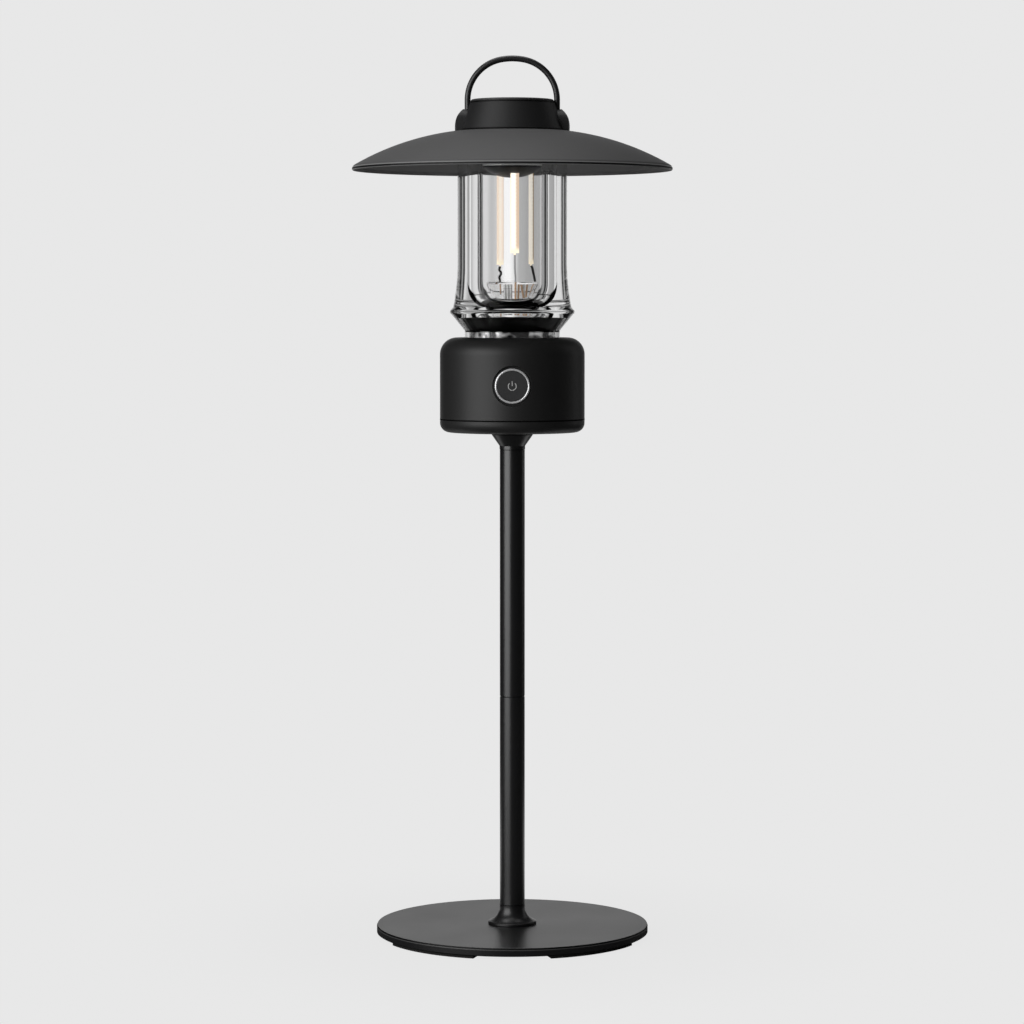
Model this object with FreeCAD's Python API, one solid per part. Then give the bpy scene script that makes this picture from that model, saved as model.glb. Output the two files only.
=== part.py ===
import FreeCAD, Part
import math
import os

V = FreeCAD.Vector
UP = V(0, 0, 1)

# A rechargeable LED lantern with a clear chimney and a wide dished shade, screwed on a table stand.
# Millimetres, +Z up, the button faces -Y, and the origin is on the table under the middle of the stand.

# Gaps between pieces that fit together
TAPPED_GAP = 0.02
FIT_GAP = 0.05
SLIDE_GAP = 0.1

# Stand: pads, plate, flange and the two-piece pole
PAD_THICK = 1.0
PAD_OUTER = 42.4
PAD_WIDTH = 7.0
PAD_MIDDLES = (50.0, 130.0, 230.0, 310.0)
PAD_HALF_ANGLE = 23.4
PLATE_RADIUS = 43.6
PLATE_THICK = 2.7
PLATE_BREAK = 0.15
EDGE_BREAK = 0.35
FLANGE_RADIUS = 7.75
FLANGE_LIP = 0.7
FLANGE_HEIGHT = 6.1
FLANGE_WAIST = 4.9
FLANGE_WAIST_HEIGHT = 2.8
FLANGE_NECK = 4.05
POLE_RADIUS = 4.0
POLE_BORE = 3.0
LOWER_POLE_LENGTH = 67.4
UPPER_POLE_LENGTH = 79.3
POLE_BREAK = 0.2
SPIGOT_RADIUS = 2.95
SPIGOT_LENGTH = 9.0
JOINER_REACH = 16.0
JOINER_COLLAR_RADIUS = 3.45
JOINER_COLLAR_HEIGHT = 1.0
SCREW_RADIUS = 2.0
SCREW_HEAD_RADIUS = 3.7
SCREW_SUNK = 0.2
SCREW_REACH = 9.0
SCREW_KEY = 2.5

# Adapter on top of the pole, with a quarter inch stud
ADAPTER_COLLAR_RADIUS = 4.1
ADAPTER_COLLAR_HEIGHT = 1.1
ADAPTER_RADIUS = 6.6
ADAPTER_HEIGHT = 5.0
STUD_RADIUS = 3.175
STUD_STANDS_OUT = 6.5
STUD_SEAT = 1.5
STUD_SHANK = 10.0
STUD_CHAMFER = 0.5
WASHER_RADIUS = 6.2
WASHER_BORE = 3.3
WASHER_THICK = 0.5

# Lantern body
BODY_RADIUS = 23.1
BODY_WALL = 2.0
BODY_HEIGHT = 30.2
BODY_TOP_ROUND = 5.4
COVER_HEIGHT = 4.0
COVER_ROUND = 3.0
COVER_FLOOR = 1.6
SEAM_HEIGHT = 0.3
SEAM_DEPTH = 0.5
TONGUE_THICK = 1.4
TONGUE_HEIGHT = 1.7
SHELF_BELOW_TOP = 3.6
SHELF_THICK = 1.1
INSERT_RADIUS = 4.5
INSERT_BORE = 3.215
INSERT_FLANGE = 5.4
INSERT_SETBACK = 0.3
BOSS_RADIUS = 6.5
BOSS_HEIGHT = 6.6
POST_RADIUS = 2.0
POST_TOP = 6.2
COVER_SCREW_PLACES = ((-13.2, -11.6), (13.2, -11.6), (-11.6, 13.4), (11.6, 13.4))
COVER_SCREW_RADIUS = 1.0
COVER_SCREW_HEAD = 1.9
COVER_SCREW_HEAD_HEIGHT = 1.1
COVER_SCREW_LENGTH = 10.0
COVER_SCREW_SUNK = 0.3
PILLAR_BORE_DEPTH = 11.0

# Power: a lying 18350 cell, two boards, and the socket at the back
CELL_RADIUS = 9.15
CELL_LENGTH = 34.5
CELL_NUB = 0.8
CELL_NUB_RADIUS = 3.0
CELL_Y = 2.2
CELL_ABOVE_BASE = 16.2
CRADLE_HALF_LENGTH = 16.0
CRADLE_HALF_WIDTH = 8.0
CRADLE_HEIGHT = 9.9
CRADLE_EAR = 4.0
CRADLE_WELL = 7.0
CONTACT_THICK = 0.4
CONTACT_HALF_WIDTH = 3.5
CONTACT_HEIGHT = 19.0
BOARD_THICK = 1.0
MAIN_BOARD_Y = 11.8
MAIN_BOARD_HALF_WIDTH = 9.3
SWITCH_BOARD_Y = -9.0
SWITCH_BOARD_HALF_WIDTH = 10.5
USB_WIDTH = 8.94
USB_HEIGHT = 3.26
USB_WALL = 0.3
USB_ABOVE_BASE = 12.0
USB_DEPTH = 7.8
USB_TONGUE_WIDTH = 6.69
USB_TONGUE_THICK = 0.7
USB_GAP = 0.15
USB_LANDING_WIDTH = 12.6
USB_LANDING_HEIGHT = 6.6
USB_LANDING_Y = 22.3
WIRE_RADIUS = 0.5
WIRE_X = 1.5
WIRE_HOLE = 0.8
WIRE_TAIL = 4.0

# Push button, measured as a distance from the middle of the body
BUTTON_ABOVE_BASE = 15.2
BUTTON_RADIUS = 4.75
BUTTON_FACE = 22.75
BUTTON_HOLE = 4.83
BUTTON_RECESS_FLOOR = 21.9
BUTTON_RECESS_RADIUS = 6.2
BUTTON_RECESS_MOUTH = 6.4
BUTTON_RECESS_DEPTH = 1.3
BUTTON_PAD_RADIUS = 6.8
BUTTON_PAD = 19.8
BUTTON_FLANGE_RADIUS = 5.7
BUTTON_FLANGE_THICK = 0.8
BUTTON_STEM_RADIUS = 1.5
BUTTON_STEM_END = 13.6
BEZEL_RADIUS = 5.5
BEZEL_FACE = 22.85
BEZEL_BEVEL = 0.3
SWITCH_HALF_SIZE = 3.0
SWITCH_HEIGHT = 3.5
PLUNGER_RADIUS = 1.0
PLUNGER_END = 11.0
PLUNGER_POCKET = 10.0

# Lamp: seal, bright sleeve, black holder, stem and three filaments
SEAL_THICK = 1.0
NECK_RADIUS = 15.2
NECK_BORE = 13.9
NECK_GAP = 0.15
SLEEVE_RADIUS = 13.8
SLEEVE_WALL = 1.2
SLEEVE_HEIGHT = 5.3
HOLDER_HEIGHT = 4.8
HOLDER_LOW_RADIUS = 13.9
HOLDER_TOP_RADIUS = 16.5
HOLDER_ROUND = 0.5
STEM_RADIUS = 8.2
STEM_TOP = 209.4
STEM_SIDE = 206.6
STEM_WAIST = (7.4, 204.6)
STEM_FOOT = 3.0
STEM_CHAMFER = 0.4
STEM_TAIL = 1.0
STEM_TAIL_DEPTH = 2.5
FILAMENT_PLACES = ((0.7, -5.8), (-4.2, 4.6), (6.2, 1.5))
FILAMENT_TURNS = (7.0, 42.0, 104.0)
FILAMENT_BOTTOMS = (218.3, 214.6, 214.8)
FILAMENT_WIDTH = 2.4
FILAMENT_THICK = 0.9
FILAMENT_TAB = 0.3
FILAMENT_TAB_LENGTH = 0.6

# Clear chimney and its clear foot
FOOT_CONE_LOW = 194.4
CHIMNEY_BOTTOM = 199.6
NOSE_RADIUS = 19.9
NOSE_HEIGHT = 200.35
NOSE_TURN = (19.45, 201.2)
NOSE_LIP = (18.85, 201.85)
FLARE_MIDDLE = (17.95, 207.5)
FOOT_TOP_RADIUS = 19.5
FOOT_INNER_LOW = 14.2
FOOT_INNER_TOP = 17.0
CHIMNEY_RADIUS = 17.45
CHIMNEY_TOP = 256.7
FLARE_TOP = 216.2
CHIMNEY_BORE = 9.6
BORE_FLOOR = 201.0
BORE_DISH = 20.0
BORE_CORNER = 6.0

# Top plug with the threaded stem that carries the cap
PLUG_HEIGHT = 6.0
PLUG_FLANGE_RADIUS = 12.0
PLUG_FLANGE_THICK = 1.0
THREAD_RADIUS = 5.0
THREAD_LENGTH = 5.8
THREAD_CHAMFER = 0.5

# Shade: a dish of sheet metal with a flat seat and a rim that turns down
SHEET = 0.8
DISH_RADIUS = 84.3
DISH_CENTRE = (8.0, 173.9)
SEAT_RADIUS = 18.8
SHADE_HOLE = 5.3
RIM_RADIUS = 50.93
RIM_BEND = 1.8
RIM_BOTTOM = 245.15
RIM_BREAK = 0.2

# Cap, measured from the seat of the shade, and the wire bail
CAP_HEIGHT = 10.1
CAP_FOOT_RADIUS = 16.4
CAP_TOP_RADIUS = 13.25
CAP_BEVEL = 0.35
CAP_HEM = 0.6
CAP_CAVITY_RADIUS = 11.2
CAP_ROOF = 1.7
CAP_BOSS_RADIUS = 7.2
CAP_BORE = 5.05
CAP_BORE_DEPTH = 5.6
GASKET_INNER = 12.5
GASKET_OUTER = 14.7
GASKET_THICK = 0.7
LUG_HALF_WIDTH = 4.4
LUG_REACH = 18.25
LUG_HEIGHT = 7.1
LUG_ROOT = 12.0
LUG_FOOT_REACH = 18.2
LUG_BELLY_HEIGHT = 1.4
LUG_BOW_REACH = 17.45
LUG_BOW_HEIGHT = 4.7
LUG_CROWN_REACH = 15.55
SLOT_INNER = 12.9
SLOT_OUTER = 15.3
SLOT_FLOOR = 3.35
SLOT_TOP = 11.0
SLOT_FRONT = -1.1
SLOT_BACK = 9.0
BAIL_WIRE = 0.95
BAIL_HALF_WIDTH = 14.2
BAIL_PIVOT = 4.6
BAIL_PIN_END = 10.9
BAIL_PIN_HOLE = 1.0
BAIL_PIN_HOLE_START = 10.2
BAIL_PIN_HOLE_DEPTH = 3.6
BAIL_BEND = 1.3
BAIL_LEG_TOP = 10.0
BAIL_SHOULDER = 13.0
BAIL_ARCH = 20.0

# Heights of the stack
PLATE_TOP = PAD_THICK + PLATE_THICK
FLANGE_TOP = PLATE_TOP + FLANGE_HEIGHT
POLE_SEAM = FLANGE_TOP + LOWER_POLE_LENGTH
POLE_TOP = POLE_SEAM + UPPER_POLE_LENGTH
ADAPTER_TOP = POLE_TOP + ADAPTER_HEIGHT
BASE = ADAPTER_TOP + WASHER_THICK
COVER_TOP = BASE + COVER_HEIGHT
HOUSING_BOTTOM = COVER_TOP + SEAM_HEIGHT
BODY_TOP = BASE + BODY_HEIGHT
SHELF_TOP = BODY_TOP - SHELF_BELOW_TOP
SHELF_BOTTOM = SHELF_TOP - SHELF_THICK
COVER_INSIDE = BASE + COVER_FLOOR
CELL_Z = BASE + CELL_ABOVE_BASE
BUTTON_Z = BASE + BUTTON_ABOVE_BASE
USB_Z = BASE + USB_ABOVE_BASE
FOOT_BOTTOM = SHELF_TOP + SEAL_THICK
SLEEVE_TOP = SHELF_TOP + SLEEVE_HEIGHT
HOLDER_TOP = SLEEVE_TOP + HOLDER_HEIGHT
PLUG_BOTTOM = CHIMNEY_TOP - PLUG_HEIGHT
SEAT = CHIMNEY_TOP + SHEET
CAP_TOP = SEAT + CAP_HEIGHT
CAVITY_RADIUS = BODY_RADIUS - BODY_WALL


class Outline:
    """A closed half section, drawn as (radius, height) points from one to the next, that turns about Z."""

    def __init__(self, radius, height):
        self.start = V(radius, 0, height)
        self.here = self.start
        self.edges = []

    def line(self, radius, height):
        end = V(radius, 0, height)
        self.edges.append(Part.LineSegment(self.here, end).toShape())
        self.here = end
        return self

    def arc(self, via, end):
        middle = V(via[0], 0, via[1])
        last = V(end[0], 0, end[1])
        self.edges.append(Part.Arc(self.here, middle, last).toShape())
        self.here = last
        return self

    def face(self):
        self.line(self.start.x, self.start.z)
        return Part.Face(Part.Wire(self.edges))

    def turned(self):
        return self.face().revolve(V(0, 0, 0), UP, 360)


def rod(radius, low, high, x=0.0, y=0.0):
    return Part.makeCylinder(radius, high - low, V(x, y, low))


def ring(outer, inner, low, high):
    return rod(outer, low, high).cut(rod(inner, low, high))


def block(x, y, z):
    """A box between two values on each axis."""
    return Part.makeBox(x[1] - x[0], y[1] - y[0], z[1] - z[0], V(x[0], y[0], z[0]))


def fused(shapes):
    whole = shapes[0].multiFuse(shapes[1:])
    return whole.removeSplitter()


def forward(shape):
    """Turns a piece drawn along +Z so that it points out of the body's front, at the button's height."""
    turned = shape.copy()
    turned.rotate(V(0, 0, 0), V(1, 0, 0), 90)
    turned.translate(V(0, 0, BUTTON_Z))
    return turned


def stadium(width, height, near, far, z):
    """A bar along Y with a flat oval section."""
    half = (width - height) / 2
    radius = height / 2
    along = V(0, 1, 0)
    ends = [Part.makeCylinder(radius, far - near, V(x, near, z), along) for x in (-half, half)]
    middle = block((-half, half), (near, far), (z - radius, z + radius))
    return fused([middle] + ends)


def foot_pad(middle_angle):
    """A rubber arc under the plate."""
    sector = ring(PAD_OUTER, PAD_OUTER - PAD_WIDTH, 0, PAD_THICK)
    reach = 2 * PAD_OUTER
    start = math.radians(middle_angle - PAD_HALF_ANGLE)
    end = math.radians(middle_angle + PAD_HALF_ANGLE)
    corners = [V(0, 0, 0)]
    corners.append(V(reach * math.cos(start), reach * math.sin(start), 0))
    corners.append(V(reach * math.cos(end), reach * math.sin(end), 0))
    wedge = Part.Face(Part.makePolygon(corners + corners[:1])).extrude(V(0, 0, PAD_THICK))
    return sector.common(wedge)


def base_plate():
    """A round steel plate with broken edges, countersunk from below for its one screw."""
    low = PAD_THICK
    sink = SCREW_HEAD_RADIUS + SCREW_SUNK
    hole = SCREW_RADIUS + FIT_GAP
    section = Outline(sink, low)
    section.line(PLATE_RADIUS - PLATE_BREAK, low)
    section.line(PLATE_RADIUS, low + PLATE_BREAK)
    section.line(PLATE_RADIUS, PLATE_TOP - PLATE_BREAK)
    section.line(PLATE_RADIUS - PLATE_BREAK, PLATE_TOP)
    section.line(hole, PLATE_TOP)
    section.line(hole, low + sink - hole)
    return section.turned()


def base_screw():
    """A flat-headed hex socket screw, up through the plate into the flange."""
    low = PAD_THICK + SCREW_SUNK
    shank = SCREW_RADIUS - TAPPED_GAP
    neck = low + SCREW_HEAD_RADIUS - shank
    section = Outline(0, low).line(SCREW_HEAD_RADIUS, low).line(shank, neck)
    section.line(shank, PLATE_TOP + SCREW_REACH).line(0, PLATE_TOP + SCREW_REACH)
    corner = SCREW_KEY / math.sqrt(3)
    turns = [math.radians(60 * i) for i in range(7)]
    hexagon = Part.makePolygon([V(corner * math.cos(a), corner * math.sin(a), low) for a in turns])
    socket = Part.Face(hexagon).extrude(V(0, 0, neck - low))
    return section.turned().cut(socket)


def foot_flange():
    """A trumpet-shaped foot with a spigot that goes up inside the pole."""
    section = Outline(SCREW_RADIUS, PLATE_TOP)
    section.line(FLANGE_RADIUS - EDGE_BREAK / 2, PLATE_TOP)
    section.line(FLANGE_RADIUS, PLATE_TOP + EDGE_BREAK / 2)
    section.line(FLANGE_RADIUS, PLATE_TOP + FLANGE_LIP)
    section.line(FLANGE_RADIUS - EDGE_BREAK / 2, PLATE_TOP + FLANGE_LIP + EDGE_BREAK / 2)
    section.arc((FLANGE_WAIST, PLATE_TOP + FLANGE_WAIST_HEIGHT), (FLANGE_NECK, FLANGE_TOP))
    section.line(SPIGOT_RADIUS, FLANGE_TOP)
    section.line(SPIGOT_RADIUS, FLANGE_TOP + SPIGOT_LENGTH)
    section.line(SCREW_RADIUS, FLANGE_TOP + SPIGOT_LENGTH)
    return section.turned()


def pole(low, high, collar_depth):
    """A tube with broken ends, and a counterbore at its top where a collar sits."""
    section = Outline(POLE_BORE, low)
    section.line(POLE_RADIUS - POLE_BREAK, low).line(POLE_RADIUS, low + POLE_BREAK)
    section.line(POLE_RADIUS, high - POLE_BREAK).line(POLE_RADIUS - POLE_BREAK, high)
    if collar_depth:
        seat = JOINER_COLLAR_RADIUS + FIT_GAP
        section.line(seat, high).line(seat, high - collar_depth).line(POLE_BORE, high - collar_depth)
    else:
        section.line(POLE_BORE, high)
    return section.turned()


def pole_joiner():
    """A turned pin inside both poles, with a collar that rests in the lower one's mouth."""
    low = POLE_SEAM - JOINER_REACH
    high = POLE_SEAM + JOINER_REACH
    tip = SPIGOT_RADIUS - 2 * EDGE_BREAK
    section = Outline(0, low).line(tip, low).line(SPIGOT_RADIUS, low + 2 * EDGE_BREAK)
    section.line(SPIGOT_RADIUS, POLE_SEAM - JOINER_COLLAR_HEIGHT)
    section.line(JOINER_COLLAR_RADIUS, POLE_SEAM - JOINER_COLLAR_HEIGHT)
    section.line(JOINER_COLLAR_RADIUS, POLE_SEAM).line(SPIGOT_RADIUS, POLE_SEAM)
    section.line(SPIGOT_RADIUS, high - 2 * EDGE_BREAK).line(tip, high).line(0, high)
    return section.turned()


def adapter():
    """A collar and cone on the pole's top, bored for the stud."""
    shank = SCREW_RADIUS + TAPPED_GAP
    seat = STUD_RADIUS + TAPPED_GAP
    section = Outline(shank, POLE_TOP - SPIGOT_LENGTH)
    section.line(SPIGOT_RADIUS, POLE_TOP - SPIGOT_LENGTH).line(SPIGOT_RADIUS, POLE_TOP)
    section.line(ADAPTER_COLLAR_RADIUS, POLE_TOP)
    section.line(ADAPTER_COLLAR_RADIUS, POLE_TOP + ADAPTER_COLLAR_HEIGHT)
    section.line(ADAPTER_RADIUS, ADAPTER_TOP - EDGE_BREAK).line(ADAPTER_RADIUS - EDGE_BREAK, ADAPTER_TOP)
    section.line(seat, ADAPTER_TOP).line(seat, ADAPTER_TOP - STUD_SEAT).line(shank, ADAPTER_TOP - STUD_SEAT)
    return section.turned()


def adapter_stud():
    """A stepped stud: a plain shank in the adapter and a quarter inch thread above it."""
    low = ADAPTER_TOP - STUD_SEAT
    high = ADAPTER_TOP + STUD_STANDS_OUT
    section = Outline(0, low - STUD_SHANK).line(SCREW_RADIUS, low - STUD_SHANK).line(SCREW_RADIUS, low)
    section.line(STUD_RADIUS, low).line(STUD_RADIUS, high - STUD_CHAMFER)
    section.line(STUD_RADIUS - STUD_CHAMFER, high).line(0, high)
    return section.turned()


def thread_insert():
    """A flanged brass bush with a blind quarter inch thread, pushed into the cover's boss from above."""
    low = BASE + INSERT_SETBACK
    boss_top = BASE + BOSS_HEIGHT
    outer = INSERT_RADIUS - TAPPED_GAP
    section = Outline(INSERT_BORE, low).line(outer, low).line(outer, boss_top)
    section.line(INSERT_FLANGE, boss_top).line(INSERT_FLANGE, boss_top + EDGE_BREAK)
    section.line(0, boss_top + EDGE_BREAK).line(0, boss_top - EDGE_BREAK)
    section.line(INSERT_BORE, boss_top - EDGE_BREAK)
    return section.turned()


def bottom_cover():
    """A shallow dish with a tongue that centres it in the housing, a boss and four screw posts."""
    tongue = CAVITY_RADIUS - SLIDE_GAP
    corner = COVER_ROUND * math.sqrt(0.5)
    section = Outline(INSERT_RADIUS, BASE).line(BODY_RADIUS - COVER_ROUND, BASE)
    middle = (BODY_RADIUS - COVER_ROUND + corner, BASE + COVER_ROUND - corner)
    section.arc(middle, (BODY_RADIUS, BASE + COVER_ROUND)).line(BODY_RADIUS, COVER_TOP)
    section.line(BODY_RADIUS - SEAM_DEPTH, COVER_TOP).line(BODY_RADIUS - SEAM_DEPTH, HOUSING_BOTTOM)
    section.line(tongue, HOUSING_BOTTOM).line(tongue, HOUSING_BOTTOM + TONGUE_HEIGHT)
    section.line(tongue - TONGUE_THICK, HOUSING_BOTTOM + TONGUE_HEIGHT)
    section.line(tongue - TONGUE_THICK, COVER_INSIDE).line(BOSS_RADIUS, COVER_INSIDE)
    section.line(BOSS_RADIUS, BASE + BOSS_HEIGHT).line(INSERT_RADIUS, BASE + BOSS_HEIGHT)
    posts = [rod(POST_RADIUS, COVER_INSIDE, BASE + POST_TOP, x, y) for x, y in COVER_SCREW_PLACES]
    whole = fused([section.turned()] + posts)
    seat = BASE + COVER_SCREW_SUNK + COVER_SCREW_HEAD_HEIGHT
    for x, y in COVER_SCREW_PLACES:
        whole = whole.cut(rod(COVER_SCREW_HEAD + SLIDE_GAP, BASE, seat, x, y))
        whole = whole.cut(rod(COVER_SCREW_RADIUS + SLIDE_GAP, BASE, BASE + POST_TOP, x, y))
    return whole


def cover_screws():
    """Four pan-headed screws, sunk in the cover, that reach up into the housing's pillars."""
    low = BASE + COVER_SCREW_SUNK
    seat = low + COVER_SCREW_HEAD_HEIGHT
    screws = []
    for x, y in COVER_SCREW_PLACES:
        head = rod(COVER_SCREW_HEAD, low, seat, x, y)
        shank = rod(COVER_SCREW_RADIUS, low, low + COVER_SCREW_LENGTH, x, y)
        screws.append(fused([head, shank]))
    return Part.makeCompound(screws)


def body_housing():
    """The main shell: a can with a round shoulder, a shelf in its mouth, a button hole and a socket slot."""
    corner = BODY_TOP_ROUND * math.sqrt(0.5)
    shoulder = BODY_RADIUS - BODY_TOP_ROUND
    mouth = NECK_RADIUS + NECK_GAP
    section = Outline(0, SHELF_TOP).line(mouth, SHELF_TOP).line(mouth, BODY_TOP).line(shoulder, BODY_TOP)
    middle = (shoulder + corner, BODY_TOP - BODY_TOP_ROUND + corner)
    section.arc(middle, (BODY_RADIUS, BODY_TOP - BODY_TOP_ROUND)).line(BODY_RADIUS, HOUSING_BOTTOM)
    section.line(CAVITY_RADIUS, HOUSING_BOTTOM).line(CAVITY_RADIUS, SHELF_BOTTOM).line(0, SHELF_BOTTOM)
    pillars = [rod(POST_RADIUS, BASE + POST_TOP, SHELF_BOTTOM, x, y) for x, y in COVER_SCREW_PLACES]
    pad = forward(rod(BUTTON_PAD_RADIUS, BUTTON_PAD, BUTTON_RECESS_FLOOR))
    whole = fused([section.turned(), pad] + pillars)
    tapped = COVER_SCREW_RADIUS + TAPPED_GAP
    cuts = [rod(tapped, BASE, BASE + PILLAR_BORE_DEPTH, x, y) for x, y in COVER_SCREW_PLACES]
    wire_y = MAIN_BOARD_Y - WIRE_RADIUS
    cuts += [rod(WIRE_HOLE, SHELF_BOTTOM, SHELF_TOP, x, wire_y) for x in (-WIRE_X, WIRE_X)]
    recess = Part.makeCone(BUTTON_RECESS_RADIUS, BUTTON_RECESS_MOUTH, BUTTON_RECESS_DEPTH,
                           V(0, 0, BUTTON_RECESS_FLOOR))
    cuts += [forward(recess), forward(rod(BUTTON_HOLE, BUTTON_PAD, BUTTON_RECESS_FLOOR))]
    slot = (USB_WIDTH + 2 * USB_GAP, USB_HEIGHT + 2 * USB_GAP)
    cuts.append(stadium(slot[0], slot[1], CAVITY_RADIUS - BODY_WALL, BODY_RADIUS, USB_Z))
    cuts.append(stadium(USB_LANDING_WIDTH, USB_LANDING_HEIGHT, USB_LANDING_Y, BODY_RADIUS, USB_Z))
    for cut in cuts:
        whole = whole.cut(cut)
    return whole


def battery_cell():
    """A lying 18350 lithium cell with a raised end contact."""
    low = -(CELL_LENGTH + CELL_NUB) / 2
    along = V(1, 0, 0)
    can = Part.makeCylinder(CELL_RADIUS, CELL_LENGTH, V(low, CELL_Y, CELL_Z), along)
    nub = Part.makeCylinder(CELL_NUB_RADIUS, CELL_NUB, V(low + CELL_LENGTH, CELL_Y, CELL_Z), along)
    return fused([can, nub])


def battery_cradle():
    """A saddle on the cover's floor that the cell lies in, open over the threaded boss."""
    high = COVER_INSIDE + CRADLE_HEIGHT
    reach = (CELL_LENGTH + CELL_NUB) / 2
    sides = (CELL_Y - CRADLE_HALF_WIDTH, CELL_Y + CRADLE_HALF_WIDTH)
    saddle = block((-CRADLE_HALF_LENGTH, CRADLE_HALF_LENGTH), sides, (COVER_INSIDE, high))
    ears = block((-reach, reach), (CELL_Y - CRADLE_EAR, CELL_Y + CRADLE_EAR), (COVER_INSIDE, high))
    whole = fused([saddle, ears])
    bed = Part.makeCylinder(CELL_RADIUS + FIT_GAP, 2 * reach, V(-reach, CELL_Y, CELL_Z), V(1, 0, 0))
    return whole.cut(bed).cut(rod(CRADLE_WELL, COVER_INSIDE, high))


def battery_contacts():
    """Two spring-steel plates, one against each end of the cell."""
    near = (CELL_LENGTH + CELL_NUB) / 2
    y = (CELL_Y - CONTACT_HALF_WIDTH, CELL_Y + CONTACT_HALF_WIDTH)
    z = (COVER_INSIDE, COVER_INSIDE + CONTACT_HEIGHT)
    right = block((near, near + CONTACT_THICK), y, z)
    left = block((-near - CONTACT_THICK, -near), y, z)
    return Part.makeCompound([left, right])


def board(y, half_width):
    """An upright circuit board, held between the cover's floor and the housing's shelf."""
    return block((-half_width, half_width), (y, y + BOARD_THICK), (COVER_INSIDE, SHELF_BOTTOM))


def usb_socket():
    """A charging socket: a flat oval shell on the main board with a contact tongue in its mouth."""
    back = MAIN_BOARD_Y + BOARD_THICK
    floor = USB_LANDING_Y - USB_DEPTH
    shell = stadium(USB_WIDTH, USB_HEIGHT, back, USB_LANDING_Y, USB_Z)
    mouth = stadium(USB_WIDTH - 2 * USB_WALL, USB_HEIGHT - 2 * USB_WALL, floor, USB_LANDING_Y, USB_Z)
    half = (USB_TONGUE_WIDTH / 2, USB_TONGUE_THICK / 2)
    lips = (USB_Z - half[1], USB_Z + half[1])
    tongue = block((-half[0], half[0]), (floor, USB_LANDING_Y - USB_WALL), lips)
    return fused([shell.cut(mouth), tongue])


def tact_switch():
    """The switch body on the front board, with the pocket that its plunger works in."""
    side = (-SWITCH_HALF_SIZE, SWITCH_HALF_SIZE)
    high = -SWITCH_BOARD_Y + SWITCH_HEIGHT
    case = block(side, side, (-SWITCH_BOARD_Y, high))
    return forward(case.cut(rod(PLUNGER_RADIUS + FIT_GAP, PLUNGER_POCKET, high)))


def switch_plunger():
    """The pin that the button pushes into the switch."""
    return forward(rod(PLUNGER_RADIUS, PLUNGER_END, BUTTON_STEM_END))


def button_cap():
    """A round flat-faced button with a flange behind the wall and a stem down to the switch."""
    flange = BUTTON_PAD - BUTTON_FLANGE_THICK
    section = Outline(0, BUTTON_STEM_END).line(BUTTON_STEM_RADIUS, BUTTON_STEM_END)
    section.line(BUTTON_STEM_RADIUS, flange).line(BUTTON_FLANGE_RADIUS, flange)
    section.line(BUTTON_FLANGE_RADIUS, BUTTON_PAD).line(BUTTON_RADIUS, BUTTON_PAD)
    section.line(BUTTON_RADIUS, BUTTON_FACE - EDGE_BREAK / 2)
    section.line(BUTTON_RADIUS - EDGE_BREAK / 2, BUTTON_FACE).line(0, BUTTON_FACE)
    return forward(section.turned())


def button_bezel():
    """A bright ring with a bevelled rim round the button, seated in the recess."""
    section = Outline(BUTTON_HOLE, BUTTON_RECESS_FLOOR).line(BEZEL_RADIUS, BUTTON_RECESS_FLOOR)
    section.line(BEZEL_RADIUS, BEZEL_FACE - BEZEL_BEVEL).line(BEZEL_RADIUS - BEZEL_BEVEL, BEZEL_FACE)
    section.line(BUTTON_HOLE, BEZEL_FACE)
    return forward(section.turned())


def lamp_holder():
    """The black cone in the clear foot that carries the stem, with rounded upper edge."""
    corner = HOLDER_ROUND * math.sqrt(0.5)
    shoulder = HOLDER_TOP_RADIUS - HOLDER_ROUND
    hole = STEM_TAIL + FIT_GAP
    section = Outline(hole, SLEEVE_TOP).line(HOLDER_LOW_RADIUS, SLEEVE_TOP)
    section.line(HOLDER_TOP_RADIUS, HOLDER_TOP - HOLDER_ROUND)
    section.arc((shoulder + corner, HOLDER_TOP - HOLDER_ROUND + corner), (shoulder, HOLDER_TOP))
    section.line(hole, HOLDER_TOP)
    return section.turned()


def lamp_wires():
    """Two wires from the main board up through the shelf to the holder."""
    y = MAIN_BOARD_Y - WIRE_RADIUS
    low = SHELF_BOTTOM - WIRE_TAIL
    return Part.makeCompound([rod(WIRE_RADIUS, low, SLEEVE_TOP, x, y) for x in (-WIRE_X, WIRE_X)])


def floor_height(radius):
    """Height of the bore's dished floor at a distance from the middle."""
    return BORE_FLOOR + BORE_DISH - math.sqrt(BORE_DISH**2 - radius**2)


def lamp_stem():
    """A clear stem that stands in the chimney's round bottom, with a tail down into the holder."""
    low = HOLDER_TOP - STEM_TAIL_DEPTH
    foot = floor_height(STEM_FOOT)
    section = Outline(0, low).line(STEM_TAIL, low).line(STEM_TAIL, foot).line(STEM_FOOT, foot)
    section.line(*STEM_WAIST).line(STEM_RADIUS, STEM_SIDE).line(STEM_RADIUS, STEM_TOP - STEM_CHAMFER)
    section.line(STEM_RADIUS - STEM_CHAMFER, STEM_TOP).line(0, STEM_TOP)
    return section.turned()


def filament(place, turn, bottom):
    """A flat coated LED strip with a metal tab at each end."""
    coat = (bottom + FILAMENT_TAB_LENGTH, PLUG_BOTTOM - FILAMENT_TAB_LENGTH)
    half = (FILAMENT_WIDTH / 2, FILAMENT_THICK / 2)
    strip = fused([block((-half[0], half[0]), (-half[1], half[1]), coat), rod(FILAMENT_TAB, bottom, PLUG_BOTTOM)])
    strip.rotate(V(0, 0, 0), UP, turn)
    strip.translate(V(place[0], place[1], 0))
    return strip


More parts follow.
